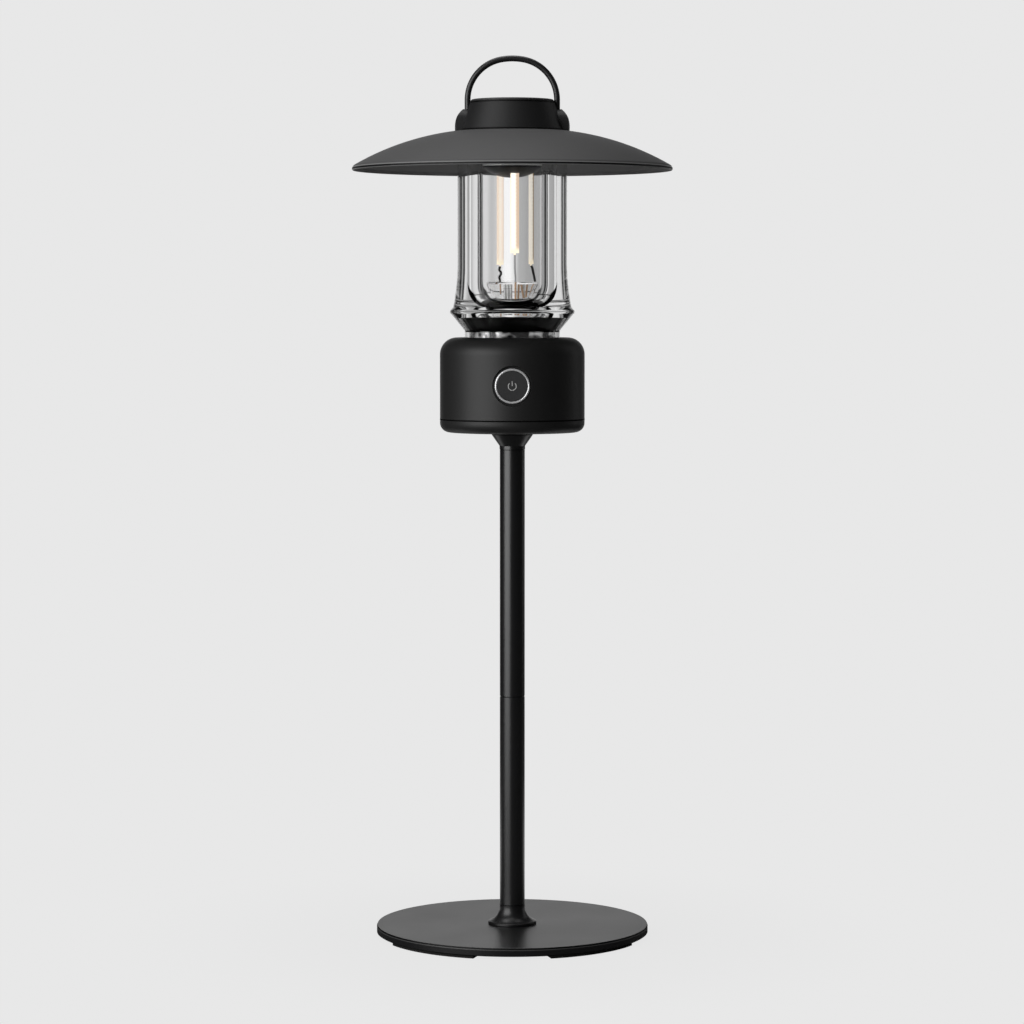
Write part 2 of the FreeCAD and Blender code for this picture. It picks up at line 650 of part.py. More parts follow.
def filament_leads():
    """The supply wires between the stem and the filaments."""
    ends = zip(FILAMENT_PLACES, FILAMENT_BOTTOMS)
    return Part.makeCompound([rod(FILAMENT_TAB, STEM_TOP, bottom, x, y) for (x, y), bottom in ends])


def chimney_foot():
    """The clear lower moulding: a neck in the body's mouth and a cone that widens round the holder."""
    section = Outline(NECK_BORE, FOOT_BOTTOM).line(NECK_RADIUS, FOOT_BOTTOM).line(NECK_RADIUS, FOOT_CONE_LOW)
    section.line(FOOT_TOP_RADIUS, CHIMNEY_BOTTOM).line(FOOT_INNER_TOP, CHIMNEY_BOTTOM)
    section.line(FOOT_INNER_TOP, HOLDER_TOP).line(FOOT_INNER_LOW, SLEEVE_TOP).line(NECK_BORE, SLEEVE_TOP)
    return section.turned()


def chimney():
    """The thick clear tube, with a rounded nose and a flare at its foot and a bore with a dished floor."""
    across = CHIMNEY_BORE - BORE_CORNER
    lean = math.asin(across / (BORE_DISH - BORE_CORNER))
    corner = V(across, 0, BORE_FLOOR + BORE_DISH - (BORE_DISH - BORE_CORNER) * math.cos(lean))
    half = (math.pi / 2 + lean) / 2
    flange_seat = CHIMNEY_TOP - PLUG_FLANGE_THICK
    hole = STEM_TAIL + SLIDE_GAP
    edge = BORE_DISH * math.sin(lean)
    between = (edge + hole) / 2
    section = Outline(hole, CHIMNEY_BOTTOM).line(FOOT_TOP_RADIUS, CHIMNEY_BOTTOM)
    section.arc((NOSE_RADIUS, NOSE_HEIGHT), NOSE_TURN).line(*NOSE_LIP)
    section.arc(FLARE_MIDDLE, (CHIMNEY_RADIUS, FLARE_TOP))
    section.line(CHIMNEY_RADIUS, CHIMNEY_TOP).line(PLUG_FLANGE_RADIUS + FIT_GAP, CHIMNEY_TOP)
    section.line(PLUG_FLANGE_RADIUS + FIT_GAP, flange_seat).line(CHIMNEY_BORE, flange_seat)
    section.line(CHIMNEY_BORE, corner.z)
    middle = (across + BORE_CORNER * math.sin(half), corner.z - BORE_CORNER * math.cos(half))
    section.arc(middle, (edge, floor_height(edge)))
    section.arc((between, floor_height(between)), (hole, floor_height(hole)))
    return section.turned()


def top_plug():
    """A black plug in the chimney's mouth, with a flange to hang by and a threaded stem for the cap."""
    seat = CHIMNEY_TOP - PLUG_FLANGE_THICK
    body = CHIMNEY_BORE - FIT_GAP
    high = CHIMNEY_TOP + THREAD_LENGTH
    section = Outline(0, PLUG_BOTTOM).line(body, PLUG_BOTTOM).line(body, seat).line(PLUG_FLANGE_RADIUS, seat)
    section.line(PLUG_FLANGE_RADIUS, CHIMNEY_TOP).line(THREAD_RADIUS, CHIMNEY_TOP)
    section.line(THREAD_RADIUS, high - THREAD_CHAMFER)
    section.line(THREAD_RADIUS - THREAD_CHAMFER, high).line(0, high)
    return section.turned()


def on_arc(centre, radius, lean):
    """A point on an arc, at an angle from the top."""
    return centre[0] + radius * math.sin(lean), centre[1] + radius * math.cos(lean)


def shade():
    """A dished sheet with a flat seat in the middle and its rim turned down."""
    reach = DISH_RADIUS - RIM_BEND
    lean = math.asin((RIM_RADIUS - RIM_BEND - DISH_CENTRE[0]) / reach)
    bend = on_arc(DISH_CENTRE, reach, lean)
    start = math.asin((SEAT_RADIUS - DISH_CENTRE[0]) / DISH_RADIUS)
    middle = (start + lean) / 2
    half_bend = (lean + math.pi / 2) / 2
    inner_dish = DISH_RADIUS - SHEET
    inner_bend = RIM_BEND - SHEET
    section = Outline(SHADE_HOLE, CHIMNEY_TOP).line(SEAT_RADIUS, CHIMNEY_TOP)
    section.arc(on_arc(DISH_CENTRE, inner_dish, middle), on_arc(DISH_CENTRE, inner_dish, lean))
    section.arc(on_arc(bend, inner_bend, half_bend), on_arc(bend, inner_bend, math.pi / 2))
    section.line(RIM_RADIUS - SHEET, RIM_BOTTOM).line(RIM_RADIUS - RIM_BREAK, RIM_BOTTOM)
    section.line(RIM_RADIUS, RIM_BOTTOM + RIM_BREAK).line(RIM_RADIUS, bend[1])
    section.arc(on_arc(bend, RIM_BEND, half_bend), on_arc(bend, RIM_BEND, lean))
    section.arc(on_arc(DISH_CENTRE, DISH_RADIUS, middle), (SEAT_RADIUS, SEAT)).line(SHADE_HOLE, SEAT)
    return section.turned()


def cap_skirt():
    """The flared cap's solid outer form."""
    section = Outline(0, CAP_TOP).line(CAP_TOP_RADIUS - CAP_BEVEL, CAP_TOP)
    section.line(CAP_TOP_RADIUS, CAP_TOP - CAP_BEVEL).line(CAP_FOOT_RADIUS, SEAT + CAP_HEM)
    section.line(CAP_FOOT_RADIUS, SEAT).line(0, SEAT)
    return section.turned()


def cap_lug(side):
    """A round ear beside the bail's leg: its front outline met by its side outline."""
    root = LUG_ROOT
    front = Outline(root, SEAT).line(LUG_FOOT_REACH, SEAT).line(LUG_REACH, SEAT + LUG_BELLY_HEIGHT)
    front.arc((LUG_BOW_REACH, SEAT + LUG_BOW_HEIGHT), (LUG_CROWN_REACH, SEAT + LUG_HEIGHT))
    front.line(root, SEAT + LUG_HEIGHT)
    slab = front.face().extrude(V(0, 2 * LUG_HALF_WIDTH, 0))
    slab.translate(V(0, -LUG_HALF_WIDTH, 0))
    crown = SEAT + LUG_HEIGHT - LUG_HALF_WIDTH
    depth = LUG_REACH - root
    round_top = Part.makeCylinder(LUG_HALF_WIDTH, depth, V(root, 0, crown), V(1, 0, 0))
    straight = block((root, LUG_REACH), (-LUG_HALF_WIDTH, LUG_HALF_WIDTH), (SEAT, crown))
    ear = slab.common(fused([round_top, straight])).common(rod(LUG_REACH, SEAT, CAP_TOP))
    if side < 0:
        ear.rotate(V(0, 0, 0), UP, 180)
    return ear


def top_cap():
    """A hollow skirt with a threaded boss, a gasket groove, and for each bail end an ear, a hole and a slot that
    is open to the back."""
    whole = fused([cap_skirt(), cap_lug(1), cap_lug(-1)])
    pivot = SEAT + BAIL_PIVOT
    cuts = [ring(CAP_CAVITY_RADIUS, CAP_BOSS_RADIUS, SEAT, CAP_TOP - CAP_ROOF)]
    cuts.append(rod(CAP_BORE, SEAT, SEAT + CAP_BORE_DEPTH))
    cuts.append(ring(GASKET_OUTER + SLIDE_GAP, GASKET_INNER - SLIDE_GAP, SEAT, SEAT + GASKET_THICK))
    for side in (1, -1):
        x = sorted((side * SLOT_INNER, side * SLOT_OUTER))
        z = (SEAT + SLOT_FLOOR, SEAT + SLOT_TOP)
        cuts.append(block(x, (SLOT_FRONT, SLOT_BACK), z))
        start = V(side * BAIL_PIN_HOLE_START, 0, pivot)
        cuts.append(Part.makeCylinder(BAIL_PIN_HOLE, BAIL_PIN_HOLE_DEPTH, start, V(side, 0, 0)))
    for cut in cuts:
        whole = whole.cut(cut)
    return whole


def bail_path():
    """Half of the bail's centre line, from its pin to the top: pin, bend, leg, shoulder and arch."""
    pivot = SEAT + BAIL_PIVOT
    leg_top = SEAT + BAIL_LEG_TOP
    leg = BAIL_HALF_WIDTH
    bend = BAIL_BEND * (1 - math.sqrt(0.5))
    shoulder_x = leg - BAIL_SHOULDER
    drop = math.sqrt((BAIL_ARCH - BAIL_SHOULDER) ** 2 - shoulder_x**2)
    lean = math.atan2(shoulder_x, drop)
    arch_z = leg_top - drop
    join = V(BAIL_ARCH * math.sin(lean), 0, arch_z + BAIL_ARCH * math.cos(lean))
    half_turn = (math.pi / 2 - lean) / 2
    shoulder = V(shoulder_x + BAIL_SHOULDER * math.cos(half_turn), 0, 0)
    shoulder.z = leg_top + BAIL_SHOULDER * math.sin(half_turn)
    half_arch = V(BAIL_ARCH * math.sin(lean / 2), 0, arch_z + BAIL_ARCH * math.cos(lean / 2))
    pin = Part.LineSegment(V(BAIL_PIN_END, 0, pivot), V(leg - BAIL_BEND, 0, pivot))
    turned_up = V(leg, 0, pivot + BAIL_BEND)
    corner = Part.Arc(V(leg - BAIL_BEND, 0, pivot), V(leg - bend, 0, pivot + bend), turned_up)
    upright = Part.LineSegment(turned_up, V(leg, 0, leg_top))
    rounded = Part.Arc(V(leg, 0, leg_top), shoulder, join)
    arched = Part.Arc(join, half_arch, V(0, 0, arch_z + BAIL_ARCH))
    return [piece.toShape() for piece in (pin, corner, upright, rounded, arched)]


def bail_handle():
    """One length of round wire, bent to an arch with its ends turned in as pivots."""
    path = Part.Wire(bail_path())
    start = V(BAIL_PIN_END, 0, SEAT + BAIL_PIVOT)
    section = Part.Wire(Part.makeCircle(BAIL_WIRE, start, V(1, 0, 0)))
    half = path.makePipeShell([section], True, False)
    other = half.copy()
    other.rotate(V(0, 0, 0), UP, 180)
    return fused([half, other])


def lantern_pieces():
    """Every node of the lantern itself, by name."""
    pieces = {
        "thread_insert": thread_insert(),
        "bottom_cover": bottom_cover(),
        "cover_screws": cover_screws(),
        "body_housing": body_housing(),
        "battery_cell": battery_cell(),
        "battery_cradle": battery_cradle(),
        "battery_contacts": battery_contacts(),
        "main_board": board(MAIN_BOARD_Y, MAIN_BOARD_HALF_WIDTH),
        "usb_socket": usb_socket(),
        "switch_board": board(SWITCH_BOARD_Y, SWITCH_BOARD_HALF_WIDTH),
        "tact_switch": tact_switch(),
        "switch_plunger": switch_plunger(),
        "button_cap": button_cap(),
        "button_bezel": button_bezel(),
        "chimney_seal": ring(NECK_RADIUS, NECK_BORE, SHELF_TOP, FOOT_BOTTOM),
        "neck_sleeve": ring(SLEEVE_RADIUS, SLEEVE_RADIUS - SLEEVE_WALL, SHELF_TOP, SLEEVE_TOP),
        "lamp_holder": lamp_holder(),
        "lamp_wires": lamp_wires(),
        "lamp_stem": lamp_stem(),
        "filament_leads": filament_leads(),
        "chimney_foot": chimney_foot(),
        "chimney": chimney(),
        "top_plug": top_plug(),
        "shade": shade(),
        "cap_gasket": ring(GASKET_OUTER, GASKET_INNER, SEAT, SEAT + GASKET_THICK),
        "top_cap": top_cap(),
        "bail_handle": bail_handle(),
    }
    strips = zip(FILAMENT_PLACES, FILAMENT_TURNS, FILAMENT_BOTTOMS)
    for number, (place, turn, bottom) in enumerate(strips, 1):
        pieces[f"filament_{number}"] = filament(place, turn, bottom)
    return pieces


def stand_pieces():
    """Every node of the stand, by name."""
    pieces = {
        "base_plate": base_plate(),
        "base_screw": base_screw(),
        "foot_flange": foot_flange(),
        "lower_pole": pole(FLANGE_TOP, POLE_SEAM, JOINER_COLLAR_HEIGHT),
        "pole_joiner": pole_joiner(),
        "upper_pole": pole(POLE_SEAM, POLE_TOP, 0),
        "adapter": adapter(),
        "adapter_stud": adapter_stud(),
        "stud_washer": ring(WASHER_RADIUS, WASHER_BORE, ADAPTER_TOP, BASE),
    }
    for number, middle in enumerate(PAD_MIDDLES, 1):
        pieces[f"foot_pad_{number}"] = foot_pad(middle)
    return pieces


os.makedirs("parts", exist_ok=True)
for name, shape in {**stand_pieces(), **lantern_pieces()}.items():
    shape.exportStep(f"parts/{name}.step")
    print(f"{name}: {len(shape.Solids)} solids, {shape.Volume:.1f} mm3, valid {shape.isValid()}")
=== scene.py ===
import math

import bmesh
import bpy
from mathutils import Matrix, Vector


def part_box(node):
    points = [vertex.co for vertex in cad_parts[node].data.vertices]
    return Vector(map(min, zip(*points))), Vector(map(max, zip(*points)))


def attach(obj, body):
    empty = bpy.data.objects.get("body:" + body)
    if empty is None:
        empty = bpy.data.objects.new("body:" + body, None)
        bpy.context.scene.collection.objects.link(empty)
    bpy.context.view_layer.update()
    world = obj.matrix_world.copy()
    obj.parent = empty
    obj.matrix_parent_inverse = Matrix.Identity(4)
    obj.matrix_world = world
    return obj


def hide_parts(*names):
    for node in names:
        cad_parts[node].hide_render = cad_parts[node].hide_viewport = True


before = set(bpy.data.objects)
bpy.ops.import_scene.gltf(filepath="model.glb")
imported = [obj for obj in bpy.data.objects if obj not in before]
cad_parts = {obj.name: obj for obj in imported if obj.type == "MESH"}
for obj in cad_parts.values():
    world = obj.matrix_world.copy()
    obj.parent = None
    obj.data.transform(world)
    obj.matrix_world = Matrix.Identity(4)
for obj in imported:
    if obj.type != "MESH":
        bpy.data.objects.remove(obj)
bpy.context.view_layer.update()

# Foot pads
# Four arcs cut from black rubber sheet and glued under the plate, so that the stand grips the table.
# They have the dull, slightly dusty skin of moulded rubber.
MM = 0.001


class Flow:
    """A node tree's socket. Sums and products of flows become Math nodes, and node() adds any other node."""

    def __init__(self, tree, socket=None):
        self.tree = tree
        self.socket = socket

    def node(self, kind, settings=None, sockets=None, out=0):
        made = self.tree.nodes.new(kind)
        for name, value in (settings or {}).items():
            if name == "stops":
                ramp = made.color_ramp.elements
                while len(ramp) < len(value):
                    ramp.new(1.0)
                for stop, (place, colour) in zip(ramp, value):
                    stop.position = place
                    stop.color = (*colour, 1.0)
            else:
                setattr(made, name, value)
        for name, value in (sockets or {}).items():
            for source in value if isinstance(value, list) else [value]:
                if isinstance(source, Flow):
                    self.tree.links.new(source.socket, made.inputs[name])
                else:
                    made.inputs[name].default_value = source
        return Flow(self.tree, made.outputs[out] if made.outputs else None)

    def maths(self, operation, first, second=0.0):
        return self.node("ShaderNodeMath", {"operation": operation}, {0: first, 1: second})

    def __add__(self, other):
        return self.maths("ADD", self, other)

    def __sub__(self, other):
        return self.maths("SUBTRACT", self, other)

    def __rsub__(self, other):
        return self.maths("SUBTRACT", other, self)

    def __mul__(self, other):
        return self.maths("MULTIPLY", self, other)

    def __truediv__(self, other):
        return self.maths("DIVIDE", self, other)

    def __rtruediv__(self, other):
        return self.maths("DIVIDE", other, self)

    __radd__ = __add__
    __rmul__ = __mul__


def finish(name):
    """A new material: its object coordinates to start from, and its surface shader."""
    material = bpy.data.materials.new(name)
    material.use_nodes = True
    tree = material.node_tree
    return material, Flow(tree).node("ShaderNodeTexCoord", out="Object"), tree.nodes["Principled BSDF"]


def connect(shader, **sockets):
    """Puts values or flows on a shader's sockets, named with underscores for spaces."""
    for name, value in sockets.items():
        socket = shader.inputs[name.replace("_", " ")]
        if isinstance(value, Flow):
            value.tree.links.new(value.socket, socket)
        else:
            socket.default_value = value


def noise(place, scale, detail=2.0, roughness=0.5):
    return place.node("ShaderNodeTexNoise", None,
                      {"Vector": place, "Scale": scale, "Detail": detail, "Roughness": roughness})


def tone(factor, dark, light):
    """A colour between two, by a factor from 0 to 1."""
    return factor.node("ShaderNodeMix", {"data_type": "RGBA"},
                       {"Factor": factor, 6: (*dark, 1.0), 7: (*light, 1.0)}, out=2)


def bump(height, distance):
    return height.node("ShaderNodeBump", None, {"Height": height, "Distance": distance})


def dress(material, *names):
    """Gives CAD nodes a material."""
    for name in names:
        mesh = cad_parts[name].data
        mesh.materials.clear()
        mesh.materials.append(material)


black_rubber, place, shader = finish("black_rubber")
dust = noise(place, scale=260.0, detail=4.0)
pores = noise(place, scale=2200.0)
connect(shader, Base_Color=tone(dust, dark=(0.006, 0.006, 0.006), light=(0.02, 0.019, 0.018)),
        Roughness=0.72 + 0.2 * dust, Specular_IOR_Level=0.3, Normal=bump(pores, 0.05 * MM))
dress(black_rubber, "foot_pad_1", "foot_pad_2", "foot_pad_3", "foot_pad_4")

# Base plate, foot flange and pole
# A bevelled steel disc, a trumpet-shaped foot screwed to it and two lengths of 8 mm tube, all coated black.
# The coat is satin, with a fine orange-peel grain. Along the disc's upper edge a lighter coat is painted
# highlight, and its bevels are near black as painted shade.


def span(name):
    """A CAD node's lowest and highest corners, in millimetres."""
    return [[round(value / MM, 2) for value in corner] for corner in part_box(name)]


def round_size(name):
    """The radius, foot and top of a CAD node that is round about Z, in millimetres."""
    low, high = span(name)
    return high[0], low[2], high[2]


def powder_coat(name, dark, light, roughness, gloss, grain=1900.0, depth=0.003 * MM):
    """A baked coat: its tone drifts a little, and small round grains stand up in it."""
    material, place, shader = finish(name)
    drift = noise(place, scale=35.0, detail=3.0)
    grains = noise(place, scale=grain, roughness=0.6)
    connect(shader, Base_Color=tone(drift, dark, light), Roughness=roughness + 0.08 * (drift - 0.5),
            Specular_IOR_Level=gloss, Normal=bump(grains, depth))
    return material


class Turning:
    """A half outline in millimetres, drawn as (radius, height), that is turned about Z into a smooth mesh."""

    def __init__(self, radius, height):
        self.points = [(radius, height)]
        self.skins = {}

    def line(self, radius, height, skin=0):
        """A straight stretch to a new point. Its skin is the number of its material."""
        self.skins[len(self.points) - 1] = skin
        self.points.append((radius, height))
        return self

    def arc(self, via, end, steps=12, skin=0):
        """A circular arc from the last point through via to end."""
        (ax, ay), (bx, by), (cx, cy) = self.points[-1], via, end
        d = 2 * (ax * (by - cy) + bx * (cy - ay) + cx * (ay - by))
        a, b, c = ax * ax + ay * ay, bx * bx + by * by, cx * cx + cy * cy
        x = (a * (by - cy) + b * (cy - ay) + c * (ay - by)) / d
        y = (a * (cx - bx) + b * (ax - cx) + c * (bx - ax)) / d
        first = math.atan2(ay - y, ax - x)
        sweep = (math.atan2(cy - y, cx - x) - first) % (2 * math.pi)
        if (math.atan2(by - y, bx - x) - first) % (2 * math.pi) > sweep:
            sweep -= 2 * math.pi
        radius = math.hypot(ax - x, ay - y)
        for step in range(1, steps + 1):
            angle = first + sweep * step / steps
            self.line(x + radius * math.cos(angle), y + radius * math.sin(angle), skin)
        return self

    def bowl(self, floor, square, skin, steps=40):
        """A round bottom from the last point down to the axis: an ellipse at 2, and squarer above that."""
        radius, edge = self.points[-1]
        for step in range(1, steps + 1):
            angle = math.pi / 2 * step / steps
            across, down = math.cos(angle) ** (2 / square), math.sin(angle) ** (2 / square)
            self.line(radius * across if step < steps else 0, edge - (edge - floor) * down, skin)
        return self

    def turned(self, name, materials, steps=192, sharp=30.0, pose=None):
        """A closed mesh object of the outline, turned all the way round and then put in its pose."""
        shape = bmesh.new()
        loops = []
        for step in range(steps):
            angle = 2 * math.pi * step / steps
            x, y = math.cos(angle) * MM, math.sin(angle) * MM
            loops.append([shape.verts.new((r * x, r * y, z * MM)) for r, z in self.points])
        count = len(self.points)
        for step in range(steps):
            here, after = loops[step], loops[(step + 1) % steps]
            for i in range(count):
                j = (i + 1) % count
                if self.points[i][0] or self.points[j][0]:
                    face = shape.faces.new((here[i], after[i], after[j], here[j]))
                    face.material_index = self.skins.get(i, 0)
        bmesh.ops.remove_doubles(shape, verts=shape.verts, dist=1e-7)
        bmesh.ops.recalc_face_normals(shape, faces=shape.faces)
        if pose:
            shape.transform(pose)
        mesh = bpy.data.meshes.new(name)
        shape.to_mesh(mesh)
        shape.free()
        mesh.shade_smooth()
        mesh.set_sharp_from_angle(angle=math.radians(sharp))
        for material in materials:
            mesh.materials.append(material)
        piece = bpy.data.objects.new(name, mesh)
        bpy.context.scene.collection.objects.link(piece)
        return piece


COAT_BLACK = ((0.006, 0.006, 0.0065), (0.009, 0.009, 0.0095))
plate_coat = powder_coat("plate_coat", *COAT_BLACK, roughness=0.35, gloss=0.4, depth=0.004 * MM)
foot_coat = powder_coat("foot_coat", *COAT_BLACK, roughness=0.34, gloss=0.6)
pole_coat = powder_coat("pole_coat", *COAT_BLACK, roughness=0.3, gloss=0.8)
# A near-black coat for painted shade on bevels and creases, and a lighter coat for painted highlights on
# edges.
edge_dark = powder_coat("edge_dark", dark=(0.002, 0.002, 0.002), light=(0.004, 0.004, 0.004),
                        roughness=0.5, gloss=0.15, grain=2300.0, depth=0.004 * MM)
edge_highlight = powder_coat("edge_highlight", dark=(0.05, 0.05, 0.05), light=(0.065, 0.065, 0.065),
                          roughness=0.4, gloss=0.5, grain=900.0, depth=0.002 * MM)

PLATE_RADIUS, PLATE_LOW, PLATE_TOP = round_size("base_plate")
SCREW_HOLE = 2.05
COUNTERSINK = 3.9
LOWER_BEVEL_WIDTH = 0.5
LOWER_BEVEL_HEIGHT = 0.3
UPPER_BEVEL_WIDTH = 0.22
UPPER_BEVEL_HEIGHT = 0.5
HIGHLIGHT_BAND = 0.25
HIGHLIGHT_LAND = 1.38
DARK_EDGE = 1
HIGHLIGHT_EDGE = 2
# The disc's bevels are painted near black as shade, and a band on its side and a ring on its top are painted
# lighter as highlights.
plate = Turning(COUNTERSINK, PLATE_LOW)
plate.line(PLATE_RADIUS - LOWER_BEVEL_WIDTH, PLATE_LOW)
plate.line(PLATE_RADIUS, PLATE_LOW + LOWER_BEVEL_HEIGHT, DARK_EDGE)
plate.line(PLATE_RADIUS, PLATE_TOP - UPPER_BEVEL_HEIGHT - HIGHLIGHT_BAND)
plate.line(PLATE_RADIUS, PLATE_TOP - UPPER_BEVEL_HEIGHT, HIGHLIGHT_EDGE)
plate.line(PLATE_RADIUS - UPPER_BEVEL_WIDTH, PLATE_TOP, DARK_EDGE)
plate.line(PLATE_RADIUS - UPPER_BEVEL_WIDTH - HIGHLIGHT_LAND, PLATE_TOP, HIGHLIGHT_EDGE)
plate.line(SCREW_HOLE, PLATE_TOP)
plate.line(SCREW_HOLE, PLATE_LOW + COUNTERSINK - SCREW_HOLE)
plate_disc = plate.turned("plate_disc", [plate_coat, edge_dark, edge_highlight], steps=256)
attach(plate_disc, "stand")
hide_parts("base_plate")
dress(foot_coat, "foot_flange")
dress(pole_coat, "lower_pole", "upper_pole", "adapter")

# Metal inside the stand
# The plate's socket screw is zinc plated, and the pin that joins the two tubes is bright turned aluminium.
# Both are hidden once the stand is put together.


def along(place, axis):
    """One coordinate of a place."""
    return place.node("ShaderNodeSeparateXYZ", None, {"Vector": place}, out=axis)


def turned_metal(name, dark, light, roughness, rings=2500.0, bare=1.0):
    """Bare metal off a lathe: fine rings along Z, and a tone that drifts."""
    material, place, shader = finish(name)
    ring = place.node("ShaderNodeTexNoise", {"noise_dimensions": "1D"},
                      {"W": along(place, "Z"), "Scale": rings})
    drift = noise(place, scale=90.0, detail=3.0)
    connect(shader, Base_Color=tone(drift, dark, light), Metallic=bare,
            Roughness=roughness + 0.14 * (ring - 0.5), Normal=bump(ring, 0.004 * MM))
    return material


plated_steel = turned_metal("plated_steel", dark=(0.42, 0.42, 0.43), light=(0.6, 0.6, 0.6),
                            roughness=0.3, rings=4000.0)
bright_aluminium = turned_metal("bright_aluminium", dark=(0.72, 0.72, 0.73), light=(0.86, 0.86, 0.87),
                                roughness=0.2, rings=3000.0)
dress(plated_steel, "base_screw")
dress(bright_aluminium, "pole_joiner")

# Stud and washer on top of the stand
# A quarter inch steel stud with a rolled thread stands out of the adapter.
# A thin rubber washer lies round it, so that the lantern doesn't scratch the coat.


def plan(name, *sizes):
    """A new geometry tree: the tree, its incoming geometry and a flow for each named size."""
    tree = bpy.data.node_groups.new(name, "GeometryNodeTree")
    tree.interface.new_socket("Geometry", in_out="INPUT", socket_type="NodeSocketGeometry")
    for size in sizes:
        tree.interface.new_socket(size, in_out="INPUT", socket_type="NodeSocketFloat")
    tree.interface.new_socket("Geometry", in_out="OUTPUT", socket_type="NodeSocketGeometry")
    entry = tree.nodes.new("NodeGroupInput")
    return [tree] + [Flow(tree, entry.outputs[socket]) for socket in ("Geometry", *sizes)]


def vector(start, x=0.0, y=0.0, z=0.0):
    """Three values or flows as one vector."""
    return start.node("ShaderNodeCombineXYZ", None, {"X": x, "Y": y, "Z": z})


def shifted(shape, **offsets):
    """A geometry moved along the axes."""
    offset = vector(shape, **offsets)
    return shape.node("GeometryNodeTransform", None, {"Geometry": shape, "Translation": offset})


def close(shape, material):
    """Ends a geometry tree: its instances made real, in their material."""
    real = shape.node("GeometryNodeRealizeInstances", None, {"Geometry": shape})
    dressed = real.node("GeometryNodeSetMaterial", None, {"Geometry": real, "Material": material})
    dressed.node("NodeGroupOutput", None, {"Geometry": dressed})


def grown(name, tree, sizes, points=(), lines=(), sharp=35.0):
    """A plain mesh object that a tree makes from sizes in millimetres, and from a path where it needs one."""
    mesh = bpy.data.meshes.new(name)
    mesh.from_pydata([Vector(point) * MM for point in points], lines, [])
    piece = bpy.data.objects.new(name, mesh)
    bpy.context.scene.collection.objects.link(piece)
    maker = piece.modifiers.new(name, "NODES")
    maker.node_group = tree
    for item in tree.interface.items_tree:
        if item.in_out == "INPUT" and item.name in sizes:
            maker[item.identifier] = sizes[item.name] * MM
    seen = bpy.context.evaluated_depsgraph_get()
    result = bpy.data.meshes.new_from_object(piece.evaluated_get(seen))
    piece.modifiers.clear()
    piece.data = result
    result.shade_smooth()
    result.set_sharp_from_angle(angle=math.radians(sharp))
    return piece


def thread_plan(name, material):
    """A rounded ridge that winds up round a core."""
    tree, entry, core, pitch, low, length, ridge = plan(name, "Core", "Pitch", "Low", "Length", "Ridge")
    helix = entry.node("GeometryNodeCurveSpiral", None,
                       {"Resolution": 48, "Rotations": length / pitch, "Height": length,
                        "Start Radius": core, "End Radius": core})
    section = entry.node("GeometryNodeCurvePrimitiveCircle", None, {"Resolution": 10, "Radius": ridge})
    wound = entry.node("GeometryNodeCurveToMesh", None,
                       {"Curve": helix, "Profile Curve": section, "Fill Caps": True})
    close(shifted(wound, z=low), material)
    return tree


STUD_LOW, STUD_TOP = round_size("adapter_stud")[1:]
ADAPTER_TOP = round_size("adapter")[2]
STUD_SHANK = 2.0
STUD_ROOT = 2.62
STUD_TIP = 2.2
TIP_HEIGHT = 0.4
ROOT_LOW = ADAPTER_TOP - 1.5
STUD_THREAD = {"Core": STUD_ROOT, "Pitch": 1.27, "Low": ADAPTER_TOP - 0.9, "Length": 6.8, "Ridge": 0.55}
stud = Turning(0, STUD_LOW).line(STUD_SHANK, STUD_LOW).line(STUD_SHANK, ROOT_LOW).line(STUD_ROOT, ROOT_LOW)
stud.line(STUD_ROOT, STUD_TOP - TIP_HEIGHT).line(STUD_TIP, STUD_TOP).line(0, STUD_TOP)
stud_core = stud.turned("stud_core", [plated_steel], steps=96)
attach(stud_core, "stand")
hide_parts("adapter_stud")
stud_thread = grown("stud_thread", thread_plan("steel_thread", plated_steel), STUD_THREAD)
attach(stud_thread, "stand")
dress(black_rubber, "stud_washer")

# Lantern's bottom cover
# A shallow dish of black moulded plastic, with a brass thread insert in its middle.
# Four small plated screws with cross recesses hold it to the housing.


def moulded(name, dark, light, roughness, gloss, grain, depth=0.008 * MM):
    """Spark-eroded plastic: an even satin skin with a very fine sandy grain."""
    material, place, shader = finish(name)
    drift = noise(place, scale=60.0)
    sand = noise(place, scale=grain, detail=3.0, roughness=0.7)
    connect(shader, Base_Color=tone(drift, dark, light), Roughness=roughness + 0.06 * (sand - 0.5),
            Specular_IOR_Level=gloss, Normal=bump(sand, depth))
    return material


body_black = moulded("body_black", dark=(0.013, 0.013, 0.013), light=(0.016, 0.016, 0.016),
                     roughness=0.48, gloss=0.43, grain=2600.0)
brass = turned_metal("brass", dark=(0.5, 0.34, 0.12), light=(0.68, 0.5, 0.22), roughness=0.25)
dress(body_black, "bottom_cover")
dress(brass, "thread_insert")

SCREW_LOW, SCREW_TOP = (corner[2] for corner in span("cover_screws"))
HEAD_RIM = 0.7
HEAD_DOME = 0.4
COVER_SCREW = {"Head": 1.9, "Rim": HEAD_RIM, "Dome": HEAD_DOME, "Cross": 2.1, "Slot": 0.4, "Recess": 1.4,
               "Shank": 1.0, "Length": SCREW_TOP - SCREW_LOW - HEAD_RIM - HEAD_DOME, "Low": SCREW_LOW,
               "Side": 12.4, "Taper": 0.8, "End": 12.5, "Shift": 0.9}
cover_plan, entry, *flows = plan("cover_screw_plan", *COVER_SCREW)
head, rim, dome, cross, slot, recess, shank, length, low, side, taper, end, shift = flows
corners = entry.node("GeometryNodeMeshGrid", None,
                     {"Size X": 2.0, "Size Y": 2.0, "Vertices X": 2, "Vertices Y": 2})
corner = entry.node("GeometryNodeInputPosition")
post = vector(entry, along(corner, "X") * (side - taper * along(corner, "Y")),
              shift + end * along(corner, "Y"), low)
posts = entry.node("GeometryNodeSetPosition", None, {"Geometry": corners, "Position": post})
disc = entry.node("GeometryNodeMeshCylinder", None, {"Vertices": 48, "Radius": head, "Depth": rim})
disc = shifted(disc, z=dome + 0.5 * rim)
